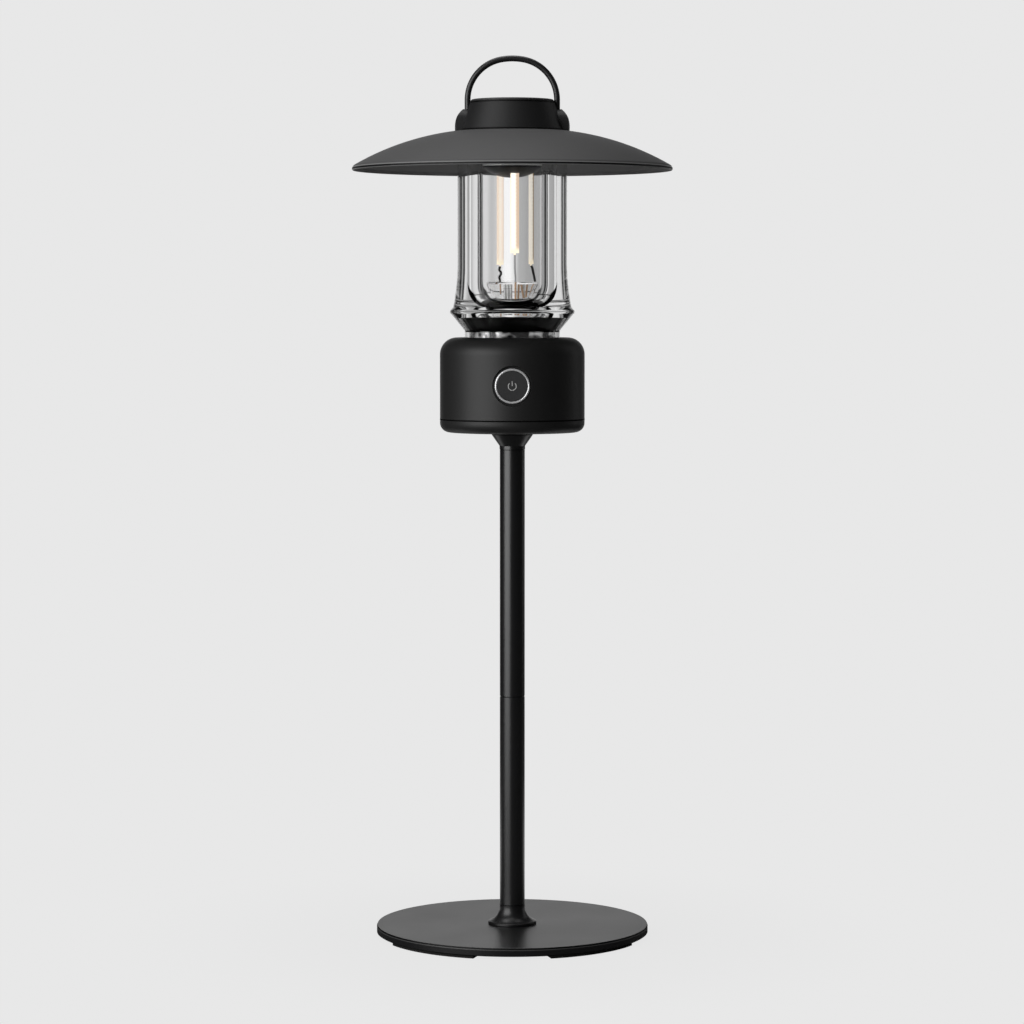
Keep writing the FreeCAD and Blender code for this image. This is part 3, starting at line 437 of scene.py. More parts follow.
ball = entry.node("GeometryNodeMeshUVSphere", None, {"Segments": 48, "Rings": 16, "Radius": 1.0})
ball = entry.node("GeometryNodeTransform", None,
                  {"Geometry": ball, "Translation": vector(entry, z=dome),
                   "Scale": vector(entry, head, head, dome)})
round_head = entry.node("GeometryNodeMeshBoolean", {"operation": "UNION"}, {"Mesh 2": [disc, ball]})
arms = [entry.node("GeometryNodeMeshCube", None, {"Size": size})
        for size in (vector(entry, cross, slot, recess), vector(entry, slot, cross, recess))]
cut = entry.node("GeometryNodeMeshBoolean", {"operation": "UNION"}, {"Mesh 2": arms})
recessed = entry.node("GeometryNodeMeshBoolean", {"operation": "DIFFERENCE"},
                      {"Mesh 1": round_head, "Mesh 2": cut})
pin = entry.node("GeometryNodeMeshCylinder", None, {"Vertices": 24, "Radius": shank, "Depth": length})
pin = shifted(pin, z=dome + rim + 0.5 * length)
screw = entry.node("GeometryNodeJoinGeometry", None, {"Geometry": [recessed, pin]})
close(entry.node("GeometryNodeInstanceOnPoints", None, {"Points": posts, "Instance": screw}), plated_steel)
cover_heads = grown("cover_screw_heads", cover_plan, COVER_SCREW)
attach(cover_heads, "lantern")
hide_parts("cover_screws")

# Body housing
# The main shell, moulded in the same black plastic, with a round shoulder and a recess for the button.
# A thin near-black band lies in the seam between the shell and the cover, as painted shade in the seam's gap.
dress(body_black, "body_housing")
# This near-black coat, on the band below, is painted shade along the seam.
seam_shade_black = moulded("seam_shade_black", dark=(0.0015, 0.0015, 0.0015), light=(0.003, 0.003, 0.003),
                     roughness=0.8, gloss=0.05, grain=1800.0)
BODY_RADIUS, HOUSING_LOW, _ = round_size("body_housing")
SEAM = HOUSING_LOW - 0.15
SEAM_SHADE_HALF = 0.23
SEAM_SHADE_ROOT_HALF = 0.17
SEAM_SHADE_DEPTH = 0.5
SEAM_SHADE_BULGE = 0.04
# Outline of the near-black band that paints the seam's shade.
seal = Turning(BODY_RADIUS - SEAM_SHADE_DEPTH, SEAM - SEAM_SHADE_ROOT_HALF).line(BODY_RADIUS, SEAM - SEAM_SHADE_HALF)
seal.arc((BODY_RADIUS + SEAM_SHADE_BULGE, SEAM), (BODY_RADIUS, SEAM + SEAM_SHADE_HALF))
seal.line(BODY_RADIUS - SEAM_SHADE_DEPTH, SEAM + SEAM_SHADE_ROOT_HALF)
cover_seam_shade = seal.turned("cover_seam_shade", [seam_shade_black])
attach(cover_seam_shade, "lantern")

# Cell, cradle and boards
# A lithium cell in a blue shrink sleeve lies in a black cradle between two spring plates.
# Two green boards stand before and behind it, and two red wires run up to the lamp.
cell_sleeve = moulded("cell_sleeve", dark=(0.03, 0.12, 0.32), light=(0.04, 0.15, 0.4),
                      roughness=0.32, gloss=0.5, grain=500.0, depth=0.006 * MM)
inner_black = moulded("inner_black", dark=(0.004, 0.004, 0.004), light=(0.007, 0.007, 0.007),
                      roughness=0.5, gloss=0.3, grain=1800.0)
solder_mask = moulded("solder_mask", dark=(0.012, 0.09, 0.03), light=(0.02, 0.13, 0.045),
                      roughness=0.3, gloss=0.5, grain=700.0, depth=0.01 * MM)
red_jacket = moulded("red_jacket", dark=(0.3, 0.012, 0.01), light=(0.4, 0.02, 0.015),
                     roughness=0.42, gloss=0.5, grain=900.0, depth=0.006 * MM)
dress(cell_sleeve, "battery_cell")
dress(inner_black, "battery_cradle", "tact_switch")
dress(plated_steel, "battery_contacts")
dress(solder_mask, "main_board", "switch_board")
dress(red_jacket, "lamp_wires")

# Charging socket
# A drawn steel shell, soldered to the main board, with its mouth at the back of the body.
# On the tongue in its mouth lie two rows of gilt contacts, above and below.
dress(plated_steel, "usb_socket")
gilt = turned_metal("gilt", dark=(0.7, 0.46, 0.14), light=(0.85, 0.6, 0.22), roughness=0.22, rings=2000.0)
socket_low, socket_high = span("usb_socket")
CONTACTS = 12
CONTACT_DEPTH = 3.5
CONTACT_ROW = {"Step": 0.5, "Width": 0.28, "Reach": 5.0, "Thickness": 0.78,
               "Middle": socket_high[1] - CONTACT_DEPTH, "Level": (socket_low[2] + socket_high[2]) / 2}
contact_plan, entry, step, width, reach, thickness, middle, level = plan("contact_plan", *CONTACT_ROW)
first = vector(entry, (1 - CONTACTS) / 2 * step, middle, level)
row = entry.node("GeometryNodeMeshLine", None,
                 {"Count": CONTACTS, "Start Location": first, "Offset": vector(entry, step)})
strip = entry.node("GeometryNodeMeshCube", None, {"Size": vector(entry, width, reach, thickness)})
close(entry.node("GeometryNodeInstanceOnPoints", None, {"Points": row, "Instance": strip}), gilt)
contacts = grown("socket_contacts", contact_plan, CONTACT_ROW)
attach(contacts, "lantern")

# Push button
# A round flat button of dark, finely textured plastic with a printed power sign. Its stem reaches the switch.
# A bright half-round ring lies in the recess round it.
button_grey = moulded("button_grey", dark=(0.02, 0.02, 0.021), light=(0.034, 0.034, 0.035),
                      roughness=0.5, gloss=0.5, grain=3600.0, depth=0.03 * MM)
bright_ring = turned_metal("bright_ring", dark=(0.8, 0.8, 0.81), light=(0.9, 0.9, 0.91),
                           roughness=0.26, bare=0.5)
dress(button_grey, "button_cap", "switch_plunger")
button_low, button_high = span("button_cap")
BUTTON_LEVEL = (button_low[2] + button_high[2]) / 2
ring_low, ring_high = span("button_bezel")
RING_RADIUS = ring_high[0]
RING_FOOT = -ring_high[1]
RING_FACE = -ring_low[1]
RING_BORE = 4.83
RING_SHOULDER = RING_FACE - 0.45
forward = Matrix.Translation((0, 0, BUTTON_LEVEL * MM)) @ Matrix.Rotation(math.pi / 2, 4, "X")
ring = Turning(RING_BORE, RING_FOOT).line(RING_RADIUS, RING_FOOT).line(RING_RADIUS, RING_SHOULDER)
ring.arc(((RING_BORE + RING_RADIUS) / 2, RING_FACE), (RING_BORE, RING_SHOULDER), steps=16)
button_ring = ring.turned("button_ring", [bright_ring], steps=128, sharp=40.0, pose=forward)
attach(button_ring, "lantern")
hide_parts("button_bezel")


def wire_plan(name, material):
    """A round wire that follows the object's own line of points, with its corners rounded."""
    tree, path, radius, bend = plan(name, "Radius", "Bend")
    run = path.node("GeometryNodeMeshToCurve", None, {"Mesh": path})
    run = path.node("GeometryNodeFilletCurve", None, {"Curve": run, "Radius": bend, "Limit Radius": True})
    section = path.node("GeometryNodeCurvePrimitiveCircle", None, {"Resolution": 12, "Radius": radius})
    wire = path.node("GeometryNodeCurveToMesh", None,
                     {"Curve": run, "Profile Curve": section, "Fill Caps": True})
    close(wire, material)
    return tree


def wired(name, material, runs, radius, bend=0.0):
    """Round wires along several runs of points, made as one piece."""
    lines = []
    points = []
    for run in runs:
        lines += [(len(points) + i, len(points) + i + 1) for i in range(len(run) - 1)]
        points += run
    sizes = {"Radius": radius, "Bend": bend}
    return grown(name, wire_plan(name, material), sizes, points, lines, sharp=60.0)


print_grey = moulded("print_grey", dark=(0.42, 0.42, 0.42), light=(0.55, 0.55, 0.54),
                     roughness=0.55, gloss=0.5, grain=2400.0, depth=0.01 * MM)
SIGN_FACE = button_low[1] + 0.07
SIGN_RADIUS = 1.25
SIGN_LINE = 0.16
SIGN_LEVEL = BUTTON_LEVEL - 0.05
BAR_LOW = BUTTON_LEVEL + 0.05
BAR_TOP = BUTTON_LEVEL + 1.55
BOW_START = 130
BOW_SWEEP = 280
BOW_STEPS = 40
turns = [math.radians(BOW_START + BOW_SWEEP * i / BOW_STEPS) for i in range(BOW_STEPS + 1)]
bow = [(SIGN_RADIUS * math.cos(turn), SIGN_FACE, SIGN_LEVEL + SIGN_RADIUS * math.sin(turn)) for turn in turns]
bar = [(0, SIGN_FACE, BAR_LOW), (0, SIGN_FACE, BAR_TOP)]
sign = wired("power_sign", print_grey, [bow, bar], SIGN_LINE)
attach(sign, "button")

# Neck and lamp holder
# A bright sleeve in the body's mouth carries the black holder cone. A rubber seal lies under the clear foot.
# The sleeve is pressed from thin sheet, so its face is wavy; its colour runs from near black to white with
# the waves, as painted reflections and highlights.


def ease(value, low, high, start=0.0, end=1.0):
    """Goes smoothly from start to end while a value goes from low to high."""
    return value.node("ShaderNodeMapRange", {"interpolation_type": "SMOOTHSTEP"},
                      {"Value": value, "From Min": low, "From Max": high, "To Min": start, "To Max": end})


wavy_metal, place, shader = finish("wavy_metal")
waves = noise(place, scale=260.0, detail=1.0)
painted_glints = ease(waves, 0.42, 0.56)
# The near-black to white colour is painted reflection and highlight of the wavy face.
connect(shader, Base_Color=tone(painted_glints, dark=(0.06, 0.06, 0.06), light=(1.0, 1.0, 1.0)), Metallic=0.6,
        Roughness=0.14 + 0.2 * waves, Normal=bump(waves, 1.4 * MM))
dress(wavy_metal, "neck_sleeve")
dress(black_rubber, "chimney_seal")
holder_black = moulded("holder_black", dark=(0.0015, 0.0015, 0.0015), light=(0.003, 0.003, 0.003),
                       roughness=0.6, gloss=0.08, grain=1800.0)
SLEEVE_TOP = round_size("neck_sleeve")[2]
FOOT_RADIUS, FOOT_LOW, FOOT_TOP = round_size("chimney_foot")
CLEARANCE = 0.1
HOLDER_LOW = SLEEVE_TOP + CLEARANCE
HOLDER_TOP = FOOT_TOP - 0.5
HOLDER_FOOT = 13.9
HOLDER_BROAD = 17.0
holder = Turning(0, HOLDER_LOW).line(HOLDER_FOOT, HOLDER_LOW)
holder.line(HOLDER_BROAD, HOLDER_TOP).line(0, HOLDER_TOP)
holder_cone = holder.turned("holder_cone", [holder_black])
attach(holder_cone, "lantern")
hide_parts("lamp_holder")

# Clear chimney
# A thick moulded tube with a round floor and a rounded nose, welded to a clear cone that goes into the body.
# It is polished plastic; where the view grazes the steep side of its floor, black is mixed in as painted
# shade.


def clear(name, bends=1.49):
    """Polished clear plastic with the faint waviness of a moulded skin."""
    material, place, shader = finish(name)
    wave = noise(place, scale=220.0)
    tint = tone(wave, dark=(0.97, 0.97, 0.97), light=(1.0, 1.0, 1.0))
    connect(shader, Base_Color=tint, Roughness=0.0, IOR=bends, Transmission_Weight=1.0,
            Normal=bump(wave, 0.01 * MM), Specular_Tint=(0.12, 0.12, 0.12, 1.0))
    return material


def darkened(material, start, full, low, high):
    """Turns a clear material black where the view grazes it, and less so from a low to a high level."""
    tree = material.node_tree
    flow = Flow(tree)
    graze = flow.node("ShaderNodeLayerWeight", None, {"Blend": 0.5}, out="Facing")
    height = along(flow.node("ShaderNodeTexCoord", out="Object"), "Z")
    fade = flow.node("ShaderNodeMapRange", None,
                     {"Value": height, "From Min": low * MM, "From Max": high * MM,
                      "To Min": 0.0, "To Max": 0.5})
    share = ease(graze - fade, start, full)
    black = flow.node("ShaderNodeBsdfDiffuse", None, {"Color": (0.003, 0.003, 0.003, 1.0)})
    body = Flow(tree, tree.nodes["Principled BSDF"].outputs[0])
    mixed = flow.node("ShaderNodeMixShader", None, {0: share, 1: body, 2: black})
    tree.links.new(mixed.socket, tree.nodes["Material Output"].inputs["Surface"])
    return material


NOSE_RADIUS, NOSE_LOW, MOUTH = round_size("chimney")
NECK_RADIUS = 15.2
NECK_TOP = FOOT_LOW + 4.8
NECK_STEP = 0.2
TUBE_RADIUS = 17.45
TUBE_BORE = 9.6
NOSE_MIDDLE = NOSE_LOW + 0.75
NOSE_TOP = (NOSE_RADIUS - 0.45, NOSE_LOW + 1.6)
FLARE_FOOT = (NOSE_RADIUS - 1.05, NOSE_LOW + 2.25)
FLARE_MIDDLE = (TUBE_RADIUS + 0.5, NOSE_LOW + 7.9)
FLARE_TOP = NOSE_LOW + 16.6
SEAT_RADIUS = 12.05
SEAT = MOUTH - 1.0
BOWL_EDGE = NOSE_LOW + 10.6
BOWL_FLOOR = NOSE_LOW - 0.2
BOWL_SQUARE = 3.0
DARK_UP_TO = BOWL_FLOOR + 6.1
BOWL_SKIN = 1
chimney_clear = clear("chimney_clear")
# The bowl's skin is mixed with black where the view grazes it: painted shade.
bowl_clear = darkened(clear("bowl_clear"), start=0.5, full=0.58, low=DARK_UP_TO, high=BOWL_EDGE)
glass = Turning(0, HOLDER_TOP + CLEARANCE).line(HOLDER_BROAD + CLEARANCE, HOLDER_TOP + CLEARANCE)
glass.line(HOLDER_FOOT + NECK_STEP, SLEEVE_TOP).line(HOLDER_FOOT, SLEEVE_TOP).line(HOLDER_FOOT, FOOT_LOW)
glass.line(NECK_RADIUS, FOOT_LOW).line(NECK_RADIUS, NECK_TOP).line(FOOT_RADIUS, NOSE_LOW)
glass.arc((NOSE_RADIUS, NOSE_MIDDLE), NOSE_TOP).line(*FLARE_FOOT)
glass.arc(FLARE_MIDDLE, (TUBE_RADIUS, FLARE_TOP), steps=24).line(TUBE_RADIUS, MOUTH)
glass.line(SEAT_RADIUS, MOUTH).line(SEAT_RADIUS, SEAT).line(TUBE_BORE, SEAT)
glass.line(TUBE_BORE, BOWL_EDGE).bowl(BOWL_FLOOR, BOWL_SQUARE, BOWL_SKIN)
clear_chimney = glass.turned("clear_chimney", [chimney_clear, bowl_clear])
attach(clear_chimney, "lantern")
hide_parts("chimney", "chimney_foot")

# Lamp stem and filaments
# Three flat LED strips in a yellow phosphor coat stand lit on bent leads, round a clear stem in the floor.
# The stem is hollow, and copper and pale metal tails run down in it.
stem_clear = clear("stem_clear", bends=1.18)
STEM_RADIUS, _, STEM_TOP = round_size("lamp_stem")
STEM_LOW = STEM_TOP - 7.2
STEM_FOOT = 6.1
STEM_SHOULDER = STEM_TOP - 1.2
FOOT_WALL = 0.6
STEM_WALL = 0.7
ROOF_LOW = STEM_TOP - STEM_WALL
ROOF_RADIUS = 7.4
STEM_EDGE = 0.4
stem = Turning(0, ROOF_LOW).line(ROOF_RADIUS, ROOF_LOW).line(STEM_RADIUS - STEM_WALL, STEM_SHOULDER)
stem.line(STEM_FOOT - FOOT_WALL, STEM_LOW).line(STEM_FOOT, STEM_LOW).line(STEM_RADIUS, STEM_SHOULDER)
stem.line(STEM_RADIUS, STEM_TOP - STEM_EDGE).line(STEM_RADIUS - STEM_EDGE, STEM_TOP).line(0, STEM_TOP)
clear_stem = stem.turned("clear_stem", [stem_clear], steps=96, sharp=20.0)
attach(clear_stem, "lantern")
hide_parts("lamp_stem")

STRIP_WIDTH = 2.4
STRIP_DEPTH = 0.9
CHIP_BEAT = 5200.0
TIP_GLINT = (1.0, 0.9, 0.7, 1.0)
TIP_LOW = 0.9
TIP_HIGH = 3.0


def glowing(name, node, turn, axis, stops, strength):
    """A lit phosphor coat: its glow changes across the strip, the rows of chips beat faintly along it, and a
    painted glint warms its foot.
    """
    material, place, shader = finish(name)
    low, high = span(node)
    middle = ((low[0] + high[0]) / 2 * MM, (low[1] + high[1]) / 2 * MM, 0.0)
    centred = place.node("ShaderNodeMapping", {"vector_type": "TEXTURE"},
                         {"Vector": place, "Location": middle, "Rotation": (0.0, 0.0, math.radians(turn)),
                          "Scale": (STRIP_WIDTH * MM, STRIP_DEPTH * MM, 1.0)})
    height = along(place, "Z")
    chips = place.maths("SINE", height * CHIP_BEAT)
    across = along(centred, axis) + 0.5 + 0.03 * chips
    glow = place.node("ShaderNodeValToRGB", {"stops": stops}, {"Fac": across})
    # Near each strip's foot the glow turns warm white: the strip's own light, with a painted glint of its
    # metal tab.
    tip = ease(height, (low[2] + TIP_LOW) * MM, (low[2] + TIP_HIGH) * MM, start=1.0, end=0.0)
    glow = place.node("ShaderNodeMix", {"data_type": "RGBA"}, {"Factor": tip, 6: glow, 7: TIP_GLINT}, out=2)
    coat = tone(0.3 * chips + 0.5, dark=(0.16, 0.1, 0.03), light=(0.2, 0.13, 0.04))
    connect(shader, Base_Color=coat, Roughness=0.5, Emission_Color=glow, Emission_Strength=strength)
    dress(material, node)


glowing("filament_front", "filament_1", turn=7.0, axis="X", strength=1.15,
        stops=[(0.0, (1.0, 0.84, 0.64)), (0.12, (1.0, 0.97, 0.9)), (0.5, (1.0, 0.97, 0.9)),
               (0.72, (0.62, 0.48, 0.37)), (1.0, (0.6, 0.45, 0.34))])
glowing("filament_left", "filament_2", turn=42.0, axis="X", strength=0.9,
        stops=[(0.0, (0.86, 0.72, 0.6)), (0.3, (0.94, 0.86, 0.77)), (0.8, (0.9, 0.8, 0.7)),
               (1.0, (0.7, 0.54, 0.42))])
glowing("filament_right", "filament_3", turn=104.0, axis="Y", strength=0.7,
        stops=[(0.0, (0.2, 0.12, 0.05)), (0.25, (0.22, 0.14, 0.06)), (0.42, (0.9, 0.88, 0.8)),
               (1.0, (0.9, 0.86, 0.78))])

dark_wire = turned_metal("dark_wire", dark=(0.02, 0.02, 0.021), light=(0.05, 0.048, 0.046), roughness=0.35)
copper = turned_metal("copper", dark=(0.85, 0.5, 0.28), light=(1.0, 0.72, 0.5), roughness=0.3, bare=0.5)
pale_metal = turned_metal("pale_metal", dark=(0.85, 0.85, 0.84), light=(0.95, 0.95, 0.94),
                          roughness=0.3, bare=0.5)
TAIL_TOP = STEM_TOP - 0.8
TAIL_LOW = STEM_TOP - 6.4
LEAD_BEND = 0.6
LEFT_LEAD = [(-4.2, 4.6, 214.65), (-4.6, 4.5, 213.4), (-3.7, 4.8, 212.2), (-4.5, 4.5, 210.8),
             (-4.2, 4.6, 209.0)]
RIGHT_LEAD = [(6.2, 1.5, 214.85), (6.6, 1.5, 214.3), (7.6, 1.4, 209.6), (7.6, 1.4, 208.8)]
FRONT_LEAD = [(0.7, -5.8, 218.35), (0.7, -5.8, 214.0), (0.9, -5.4, 211.0), (0.9, -5.4, 209.0)]
COPPER_TAILS = [[(0.9, -5.4, 209.1), (0.9, -5.4, TAIL_LOW)],
                [(-4.2, 4.6, 209.1), (-4.2, 4.6, TAIL_LOW)],
                [(7.2, 1.4, 208.9), (6.0, 1.2, TAIL_LOW)],
                [(2.6, -3.6, TAIL_TOP), (3.4, -3.6, TAIL_LOW)],
                [(4.6, -2.0, TAIL_TOP), (4.2, -2.0, TAIL_LOW)],
                [(1.9, -4.6, TAIL_TOP), (1.7, -4.6, TAIL_LOW)]]
PALE_TAILS = [[(-2.2, -5.0, TAIL_TOP), (-2.0, -5.0, TAIL_LOW)],
              [(-1.3, -5.2, TAIL_TOP), (-1.2, -5.2, TAIL_LOW)],
              [(-0.4, -5.4, TAIL_TOP), (-0.4, -5.4, TAIL_LOW)],
              [(3.3, -3.2, TAIL_TOP), (3.4, -3.2, TAIL_LOW)]]
dark_leads = wired("dark_leads", dark_wire, [LEFT_LEAD, RIGHT_LEAD], radius=0.44, bend=LEAD_BEND)
bright_lead = wired("bright_lead", plated_steel, [FRONT_LEAD], radius=0.25, bend=LEAD_BEND)
copper_tails = wired("copper_tails", copper, COPPER_TAILS, radius=0.28)
pale_tails = wired("pale_tails", pale_metal, PALE_TAILS, radius=0.42)
for wires in (dark_leads, bright_lead, copper_tails, pale_tails):
    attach(wires, "lantern")
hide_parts("filament_leads")

# Top plug
# A black moulded plug with a round foot and a bright metal collar closes the chimney's mouth.
# Its stem stands out through the shade and carries the fine thread for the cap.
PLUG_RADIUS, PLUG_LOW, PLUG_TOP = round_size("top_plug")
PLUG_BODY = TUBE_BORE - 0.05
PLUG_STEM = 4.5
PLUG_EDGE = 0.4
plug = Turning(0, PLUG_LOW).line(PLUG_BODY, PLUG_LOW).line(PLUG_BODY, SEAT).line(PLUG_RADIUS, SEAT)
plug.line(PLUG_RADIUS, MOUTH).line(PLUG_STEM, MOUTH).line(PLUG_STEM, PLUG_TOP - PLUG_EDGE)
plug.line(PLUG_STEM - PLUG_EDGE, PLUG_TOP).line(0, PLUG_TOP)
plug_core = plug.turned("plug_core", [inner_black], steps=96)
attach(plug_core, "lantern")
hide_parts("top_plug")

ROUND_LOW = PLUG_LOW - 7.8
ROUND_MIDDLE = (5.2, PLUG_LOW - 7.1)
ROUND_EDGE = PLUG_LOW - 4.7
ROUND_TOP = PLUG_LOW - 4.2
ROUND_RADIUS = TUBE_BORE - 0.2
rounding = Turning(0, ROUND_LOW).arc(ROUND_MIDDLE, (ROUND_RADIUS, ROUND_EDGE), steps=16)
rounding.line(ROUND_RADIUS, ROUND_TOP).line(0, ROUND_TOP)
plug_foot = rounding.turned("plug_foot", [inner_black], steps=96)
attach(plug_foot, "lantern")

COLLAR_LOW = PLUG_LOW - 4.3
COLLAR_BORE = TUBE_BORE - 0.8
COLLAR_RADIUS = TUBE_BORE - 0.1
collar = Turning(COLLAR_BORE, COLLAR_LOW).line(COLLAR_RADIUS, COLLAR_LOW)
collar.line(COLLAR_RADIUS, PLUG_LOW).line(COLLAR_BORE, PLUG_LOW)
plug_collar = collar.turned("plug_collar", [pale_metal])
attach(plug_collar, "lantern")

PLUG_THREAD = {"Core": PLUG_STEM, "Pitch": 1.0, "Low": MOUTH + 0.6, "Length": 4.6, "Ridge": 0.48}
plug_thread = grown("plug_thread", thread_plan("plastic_thread", inner_black), PLUG_THREAD)
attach(plug_thread, "lantern")

# Shade
# A dish spun from sheet metal, painted matt dark grey and clamped under the cap; a little lighter below, as
# painted light.
# Its rim is folded to a narrow hem: the hem's two edges are painted lighter as highlights, and its face near
# black as shade.
shade_coat = powder_coat("shade_coat", dark=(0.07, 0.07, 0.0705), light=(0.084, 0.084, 0.0845),
                         roughness=0.6, gloss=0.3, grain=2300.0, depth=0.01 * MM)
# The lining is the dish's coat made lighter: painted light from the lamp and the floor below the dish.
lit_shade_lining = powder_coat("lit_shade_lining", dark=(0.15, 0.15, 0.1505), light=(0.18, 0.18, 0.1805),
                           roughness=0.7, gloss=0.2, grain=2300.0, depth=0.01 * MM)
# The hem's face is near black as painted shade, and its two edges lighter as painted highlights.
hem_dark = powder_coat("hem_dark", dark=(0.004, 0.004, 0.0045), light=(0.007, 0.007, 0.0075),
                       roughness=0.5, gloss=0.2, grain=2300.0, depth=0.004 * MM)
hem_highlight = powder_coat("hem_highlight", dark=(0.16, 0.16, 0.16), light=(0.24, 0.24, 0.24),
                         roughness=0.4, gloss=0.5, grain=900.0, depth=0.002 * MM)
SHADE_RADIUS, SHADE_LOW, SHADE_TOP = round_size("shade")
SHADE_BORE = 5.3
SHADE_FLAT = 18.8
SHEET = 0.8
UNDER_MIDDLE = (34.68, SHADE_TOP - 4.48)
UNDER_EDGE = (SHADE_RADIUS - 1.31, SHADE_LOW + 1.13)
HEM_BACK = SHADE_RADIUS - 0.83
HEM_LOW = SHADE_LOW + 0.05
HEM_ROUND = SHADE_RADIUS - 0.21
HEM_FACE_LOW = HEM_LOW + 0.22
HEM_FACE_TOP = HEM_LOW + 0.77
HEM_TOP = HEM_LOW + 1.1
FOLD_MIDDLE = (SHADE_RADIUS - 0.48, SHADE_LOW + 1.53)
FOLD_END = (SHADE_RADIUS - 0.9, SHADE_LOW + 1.83)
UPPER_MIDDLE = (34.93, SHADE_TOP - 3.72)
LINING = 1
HEM_DARK = 2
HEM_HIGHLIGHT = 3
dish = Turning(SHADE_BORE, SHADE_TOP - SHEET).line(SHADE_FLAT, SHADE_TOP - SHEET, LINING)
dish.arc(UNDER_MIDDLE, UNDER_EDGE, steps=40, skin=LINING)
dish.line(HEM_BACK, HEM_LOW, LINING).line(HEM_ROUND, HEM_LOW, LINING)
dish.line(SHADE_RADIUS, HEM_FACE_LOW, HEM_HIGHLIGHT).line(SHADE_RADIUS, HEM_FACE_TOP, HEM_DARK)
dish.line(HEM_ROUND, HEM_TOP, HEM_HIGHLIGHT).arc(FOLD_MIDDLE, FOLD_END, steps=8)
dish.arc(UPPER_MIDDLE, (SHADE_FLAT, SHADE_TOP), steps=40).line(SHADE_BORE, SHADE_TOP)
shade_dish = dish.turned("shade_dish", [shade_coat, lit_shade_lining, hem_dark, hem_highlight], steps=256)
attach(shade_dish, "lantern")
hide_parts("shade")

# Cap and gasket
# A flared cap, turned and milled from aluminium and anodised black, screws down on the shade over a gasket.
# A fine bead, painted lighter as a highlight, runs round its top edge, clear of the bail; a near-black line
# under it and a thin one round its foot are painted shade.
cap_black = powder_coat("cap_black", *COAT_BLACK, roughness=0.52, gloss=0.5, grain=2600.0, depth=0.004 * MM)
# The bead's lighter coat is a painted highlight.
cap_bead_highlight = powder_coat("cap_bead_highlight", dark=(0.05, 0.05, 0.0505), light=(0.07, 0.07, 0.0705),
                       roughness=0.5, gloss=0.3, grain=2600.0, depth=0.002 * MM)
dress(cap_black, "top_cap")
dress(black_rubber, "cap_gasket")
CAP_LOW, CAP_TOP = (corner[2] for corner in span("top_cap"))
# The bead's line is a painted highlight, and the groove and foot lines, in the near-black coat, are painted
# shade.
# Each line has its name, its coat, the radius and level that it runs at, and the radius of its section.
CAP_LINES = (("cap_bead", cap_bead_highlight, 12.98, CAP_TOP - 0.4, 0.36),
             ("cap_groove_shade", edge_dark, 13.3, CAP_TOP - 0.98, 0.3),
             ("cap_foot_shadow", edge_dark, 16.3, CAP_LOW + 0.45, 0.32))
EAR_HALF_ANGLE = 15
HALF_STEPS = 60
sweep = 180 - 2 * EAR_HALF_ANGLE
halves = [[math.radians(start + sweep * i / HALF_STEPS) for i in range(HALF_STEPS + 1)]
          for start in (EAR_HALF_ANGLE, 180 + EAR_HALF_ANGLE)]
for name, coat, radius, level, wire_radius in CAP_LINES:
    runs = [[(radius * math.cos(turn), radius * math.sin(turn), level) for turn in half] for half in halves]
    line = wired(name, coat, runs, wire_radius)
    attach(line, "cap")

# Bail
# One length of black painted spring wire, bent to an arch.
# Its two ends are turned in as pivots and sit in the holes of the cap's ears.
wire_paint = powder_coat("wire_paint", dark=(0.009, 0.009, 0.0095), light=(0.013, 0.013, 0.0135),
                         roughness=0.38, gloss=0.65, grain=900.0, depth=0.001 * MM)
dress(wire_paint, "bail_handle")

# Studio
# A pale seamless floor and backdrop, a large soft lamp on the left, one overhead and a weak one on the right.
# Bright panels and dark flags stand all round, and only the clear plastic shows them, as stripes.
PALE = 0.806
AMBIENT = 0.1
FLOOR_HALF = 0.2
SHADOW_NEAR = 0.04
SHADOW_FAR = 0.14
REAR_START = 0.03
REAR_END = 0.1


def rays_that_see(start):
    """Three flows, which are 1 for rays from the camera, off a gloss and through glass."""
    camera, glossy, through = (start.node("ShaderNodeLightPath", out=f"Is {kind} Ray")
                               for kind in ("Camera", "Glossy", "Transmission"))
    return camera, glossy * (1 - through), through


floor_mesh = bpy.data.meshes.new("studio_floor")
floor_corners = [(x * FLOOR_HALF, y * FLOOR_HALF, 0) for x, y in ((-1, -1), (1, -1), (1, 1), (-1, 1))]
floor_mesh.from_pydata(floor_corners, [], [(0, 1, 2, 3)])
studio_floor = bpy.data.objects.new("studio_floor", floor_mesh)
bpy.context.scene.collection.objects.link(studio_floor)
floor_paint = bpy.data.materials.new("floor_paint")
floor_paint.use_nodes = True
tree = floor_paint.node_tree
tree.nodes.clear()
start = Flow(tree)
place = start.node("ShaderNodeTexCoord", out="Object")
reach = start.node("ShaderNodeVectorMath", {"operation": "LENGTH"}, {0: place}, out="Value")
away = ease(reach, SHADOW_NEAR, SHADOW_FAR, start=0.95)
rear = ease(along(place, "Y"), REAR_START, REAR_END)
camera, glossy, through = rays_that_see(start)
pale = start.node("ShaderNodeEmission", None, {"Color": (PALE, PALE, PALE, 1.0), "Strength": 1.0})
shadowed = tone(glossy, dark=(0.75, 0.75, 0.75), light=(0.1, 0.1, 0.1))
paint = start.node("ShaderNodeBsdfDiffuse", None, {"Color": shadowed})
seen = away * (camera + glossy * rear + through)
mixed = start.node("ShaderNodeMixShader", None, {0: seen, 1: paint, 2: pale})
start.node("ShaderNodeOutputMaterial", None, {"Surface": mixed})
floor_mesh.materials.append(floor_paint)

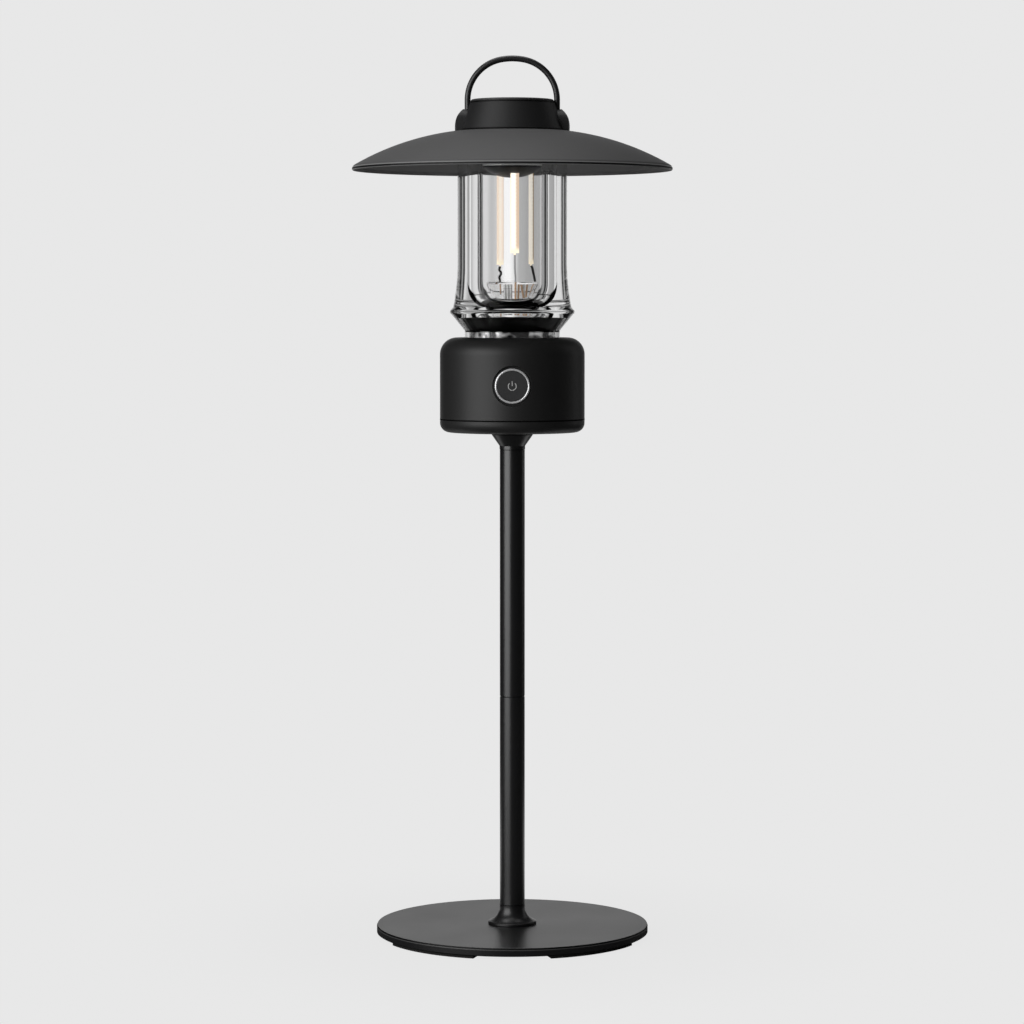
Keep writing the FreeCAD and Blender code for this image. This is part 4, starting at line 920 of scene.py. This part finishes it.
# A panel's stop has its bearing in degrees, from straight behind to the right, and how bright it is there.
# A flag has its bearing and its width, in degrees too.
PANELS = [(-180, 0.3), (-146, 0.3), (-141, 2.2), (-121, 2.2), (-115, 0.38), (-106, 0.38), (-100, 0.65),
          (-92, 0.42), (-80, 0.32), (-60, 0.4), (-46, 0.75), (-28, 0.68), (-17, 0.5), (-8, 0.6), (-5, 0.95),
          (-1, 0.95), (4, 0.44), (10, 0.36), (38, 0.4), (46, 0.8), (54, 0.35), (70, 0.3), (84, 0.5),
          (100, 0.45), (116, 0.5), (160, 0.3)]
FLAGS = [(-109, 6), (-75, 5), (-66, 9), (-54.5, 5), (50, 5), (60, 8), (88, 4)]
FLAG_DARK = 0.06
world = bpy.data.worlds.new("studio")
world.use_nodes = True
bpy.context.scene.world = world
tree = world.node_tree
tree.nodes.clear()
start = Flow(tree)
camera, glossy, through = rays_that_see(start)
direction = start.node("ShaderNodeTexCoord", out="Generated")
behind = along(direction, "Y")
backdrop = ease(behind, 0.84, 0.99, start=0.03, end=PALE)
turn = start.maths("ARCTAN2", along(direction, "X"), behind) * (0.5 / math.pi) + 0.5
stops = [((at + 180) / 360, (bright, bright, bright)) for at, bright in PANELS]
panels = start.node("ShaderNodeValToRGB", {"stops": stops}, {"Fac": turn})
for at, width in FLAGS:
    beside = start.maths("ABSOLUTE", turn - (at + 180) / 360)
    panels = panels * ease(beside, 0.25 * width / 360, 0.75 * width / 360, start=FLAG_DARK)
level = camera * PALE + through * (1 - camera) * panels + glossy * backdrop
level = level + (1 - camera - through - glossy) * AMBIENT
sky = start.node("ShaderNodeBackground", None, {"Color": (1.0, 1.0, 1.0, 1.0), "Strength": level})
start.node("ShaderNodeOutputWorld", None, {"Surface": sky})


def soft_lamp(name, place, target, width, height, power):
    """A rectangle of light, in metres and watts, that faces its target."""
    lamp = bpy.data.lights.new(name, "AREA")
    lamp.shape = "RECTANGLE"
    lamp.size = width
    lamp.size_y = height
    lamp.energy = power
    stand = bpy.data.objects.new(name, lamp)
    stand.location = place
    stand.rotation_euler = (Vector(target) - Vector(place)).to_track_quat("-Z", "Y").to_euler()
    bpy.context.scene.collection.objects.link(stand)
    return stand


left_lamp = soft_lamp("left_lamp", place=(-0.85, -0.74, 0.42), target=(0.0, 0.0, 0.16),
                      width=1.2, height=1.0, power=12.0)
left_lamp.visible_transmission = False
soft_lamp("top_lamp", place=(-0.1, 0.1, 1.1), target=(0.0, 0.0, 0.2), width=0.8, height=0.8, power=4.2)
right_lamp = soft_lamp("right_lamp", place=(0.85, 0.5, 0.4), target=(0.0, 0.0, 0.16),
                       width=0.2, height=0.8, power=0.4)
right_lamp.visible_transmission = False

CAMERA_PLACE = (-0.0001, -1.0729, 0.20296)
CAMERA_TILT = 3.55
lens = bpy.data.cameras.new("photo_camera")
lens.lens = 118.1
lens.sensor_width = 36.0
photo_camera = bpy.data.objects.new("photo_camera", lens)
photo_camera.location = CAMERA_PLACE
photo_camera.rotation_euler = (math.radians(90 - CAMERA_TILT), 0.0, 0.0)
bpy.context.scene.collection.objects.link(photo_camera)
bpy.context.scene.camera = photo_camera
bpy.context.scene.view_settings.view_transform = "Standard"
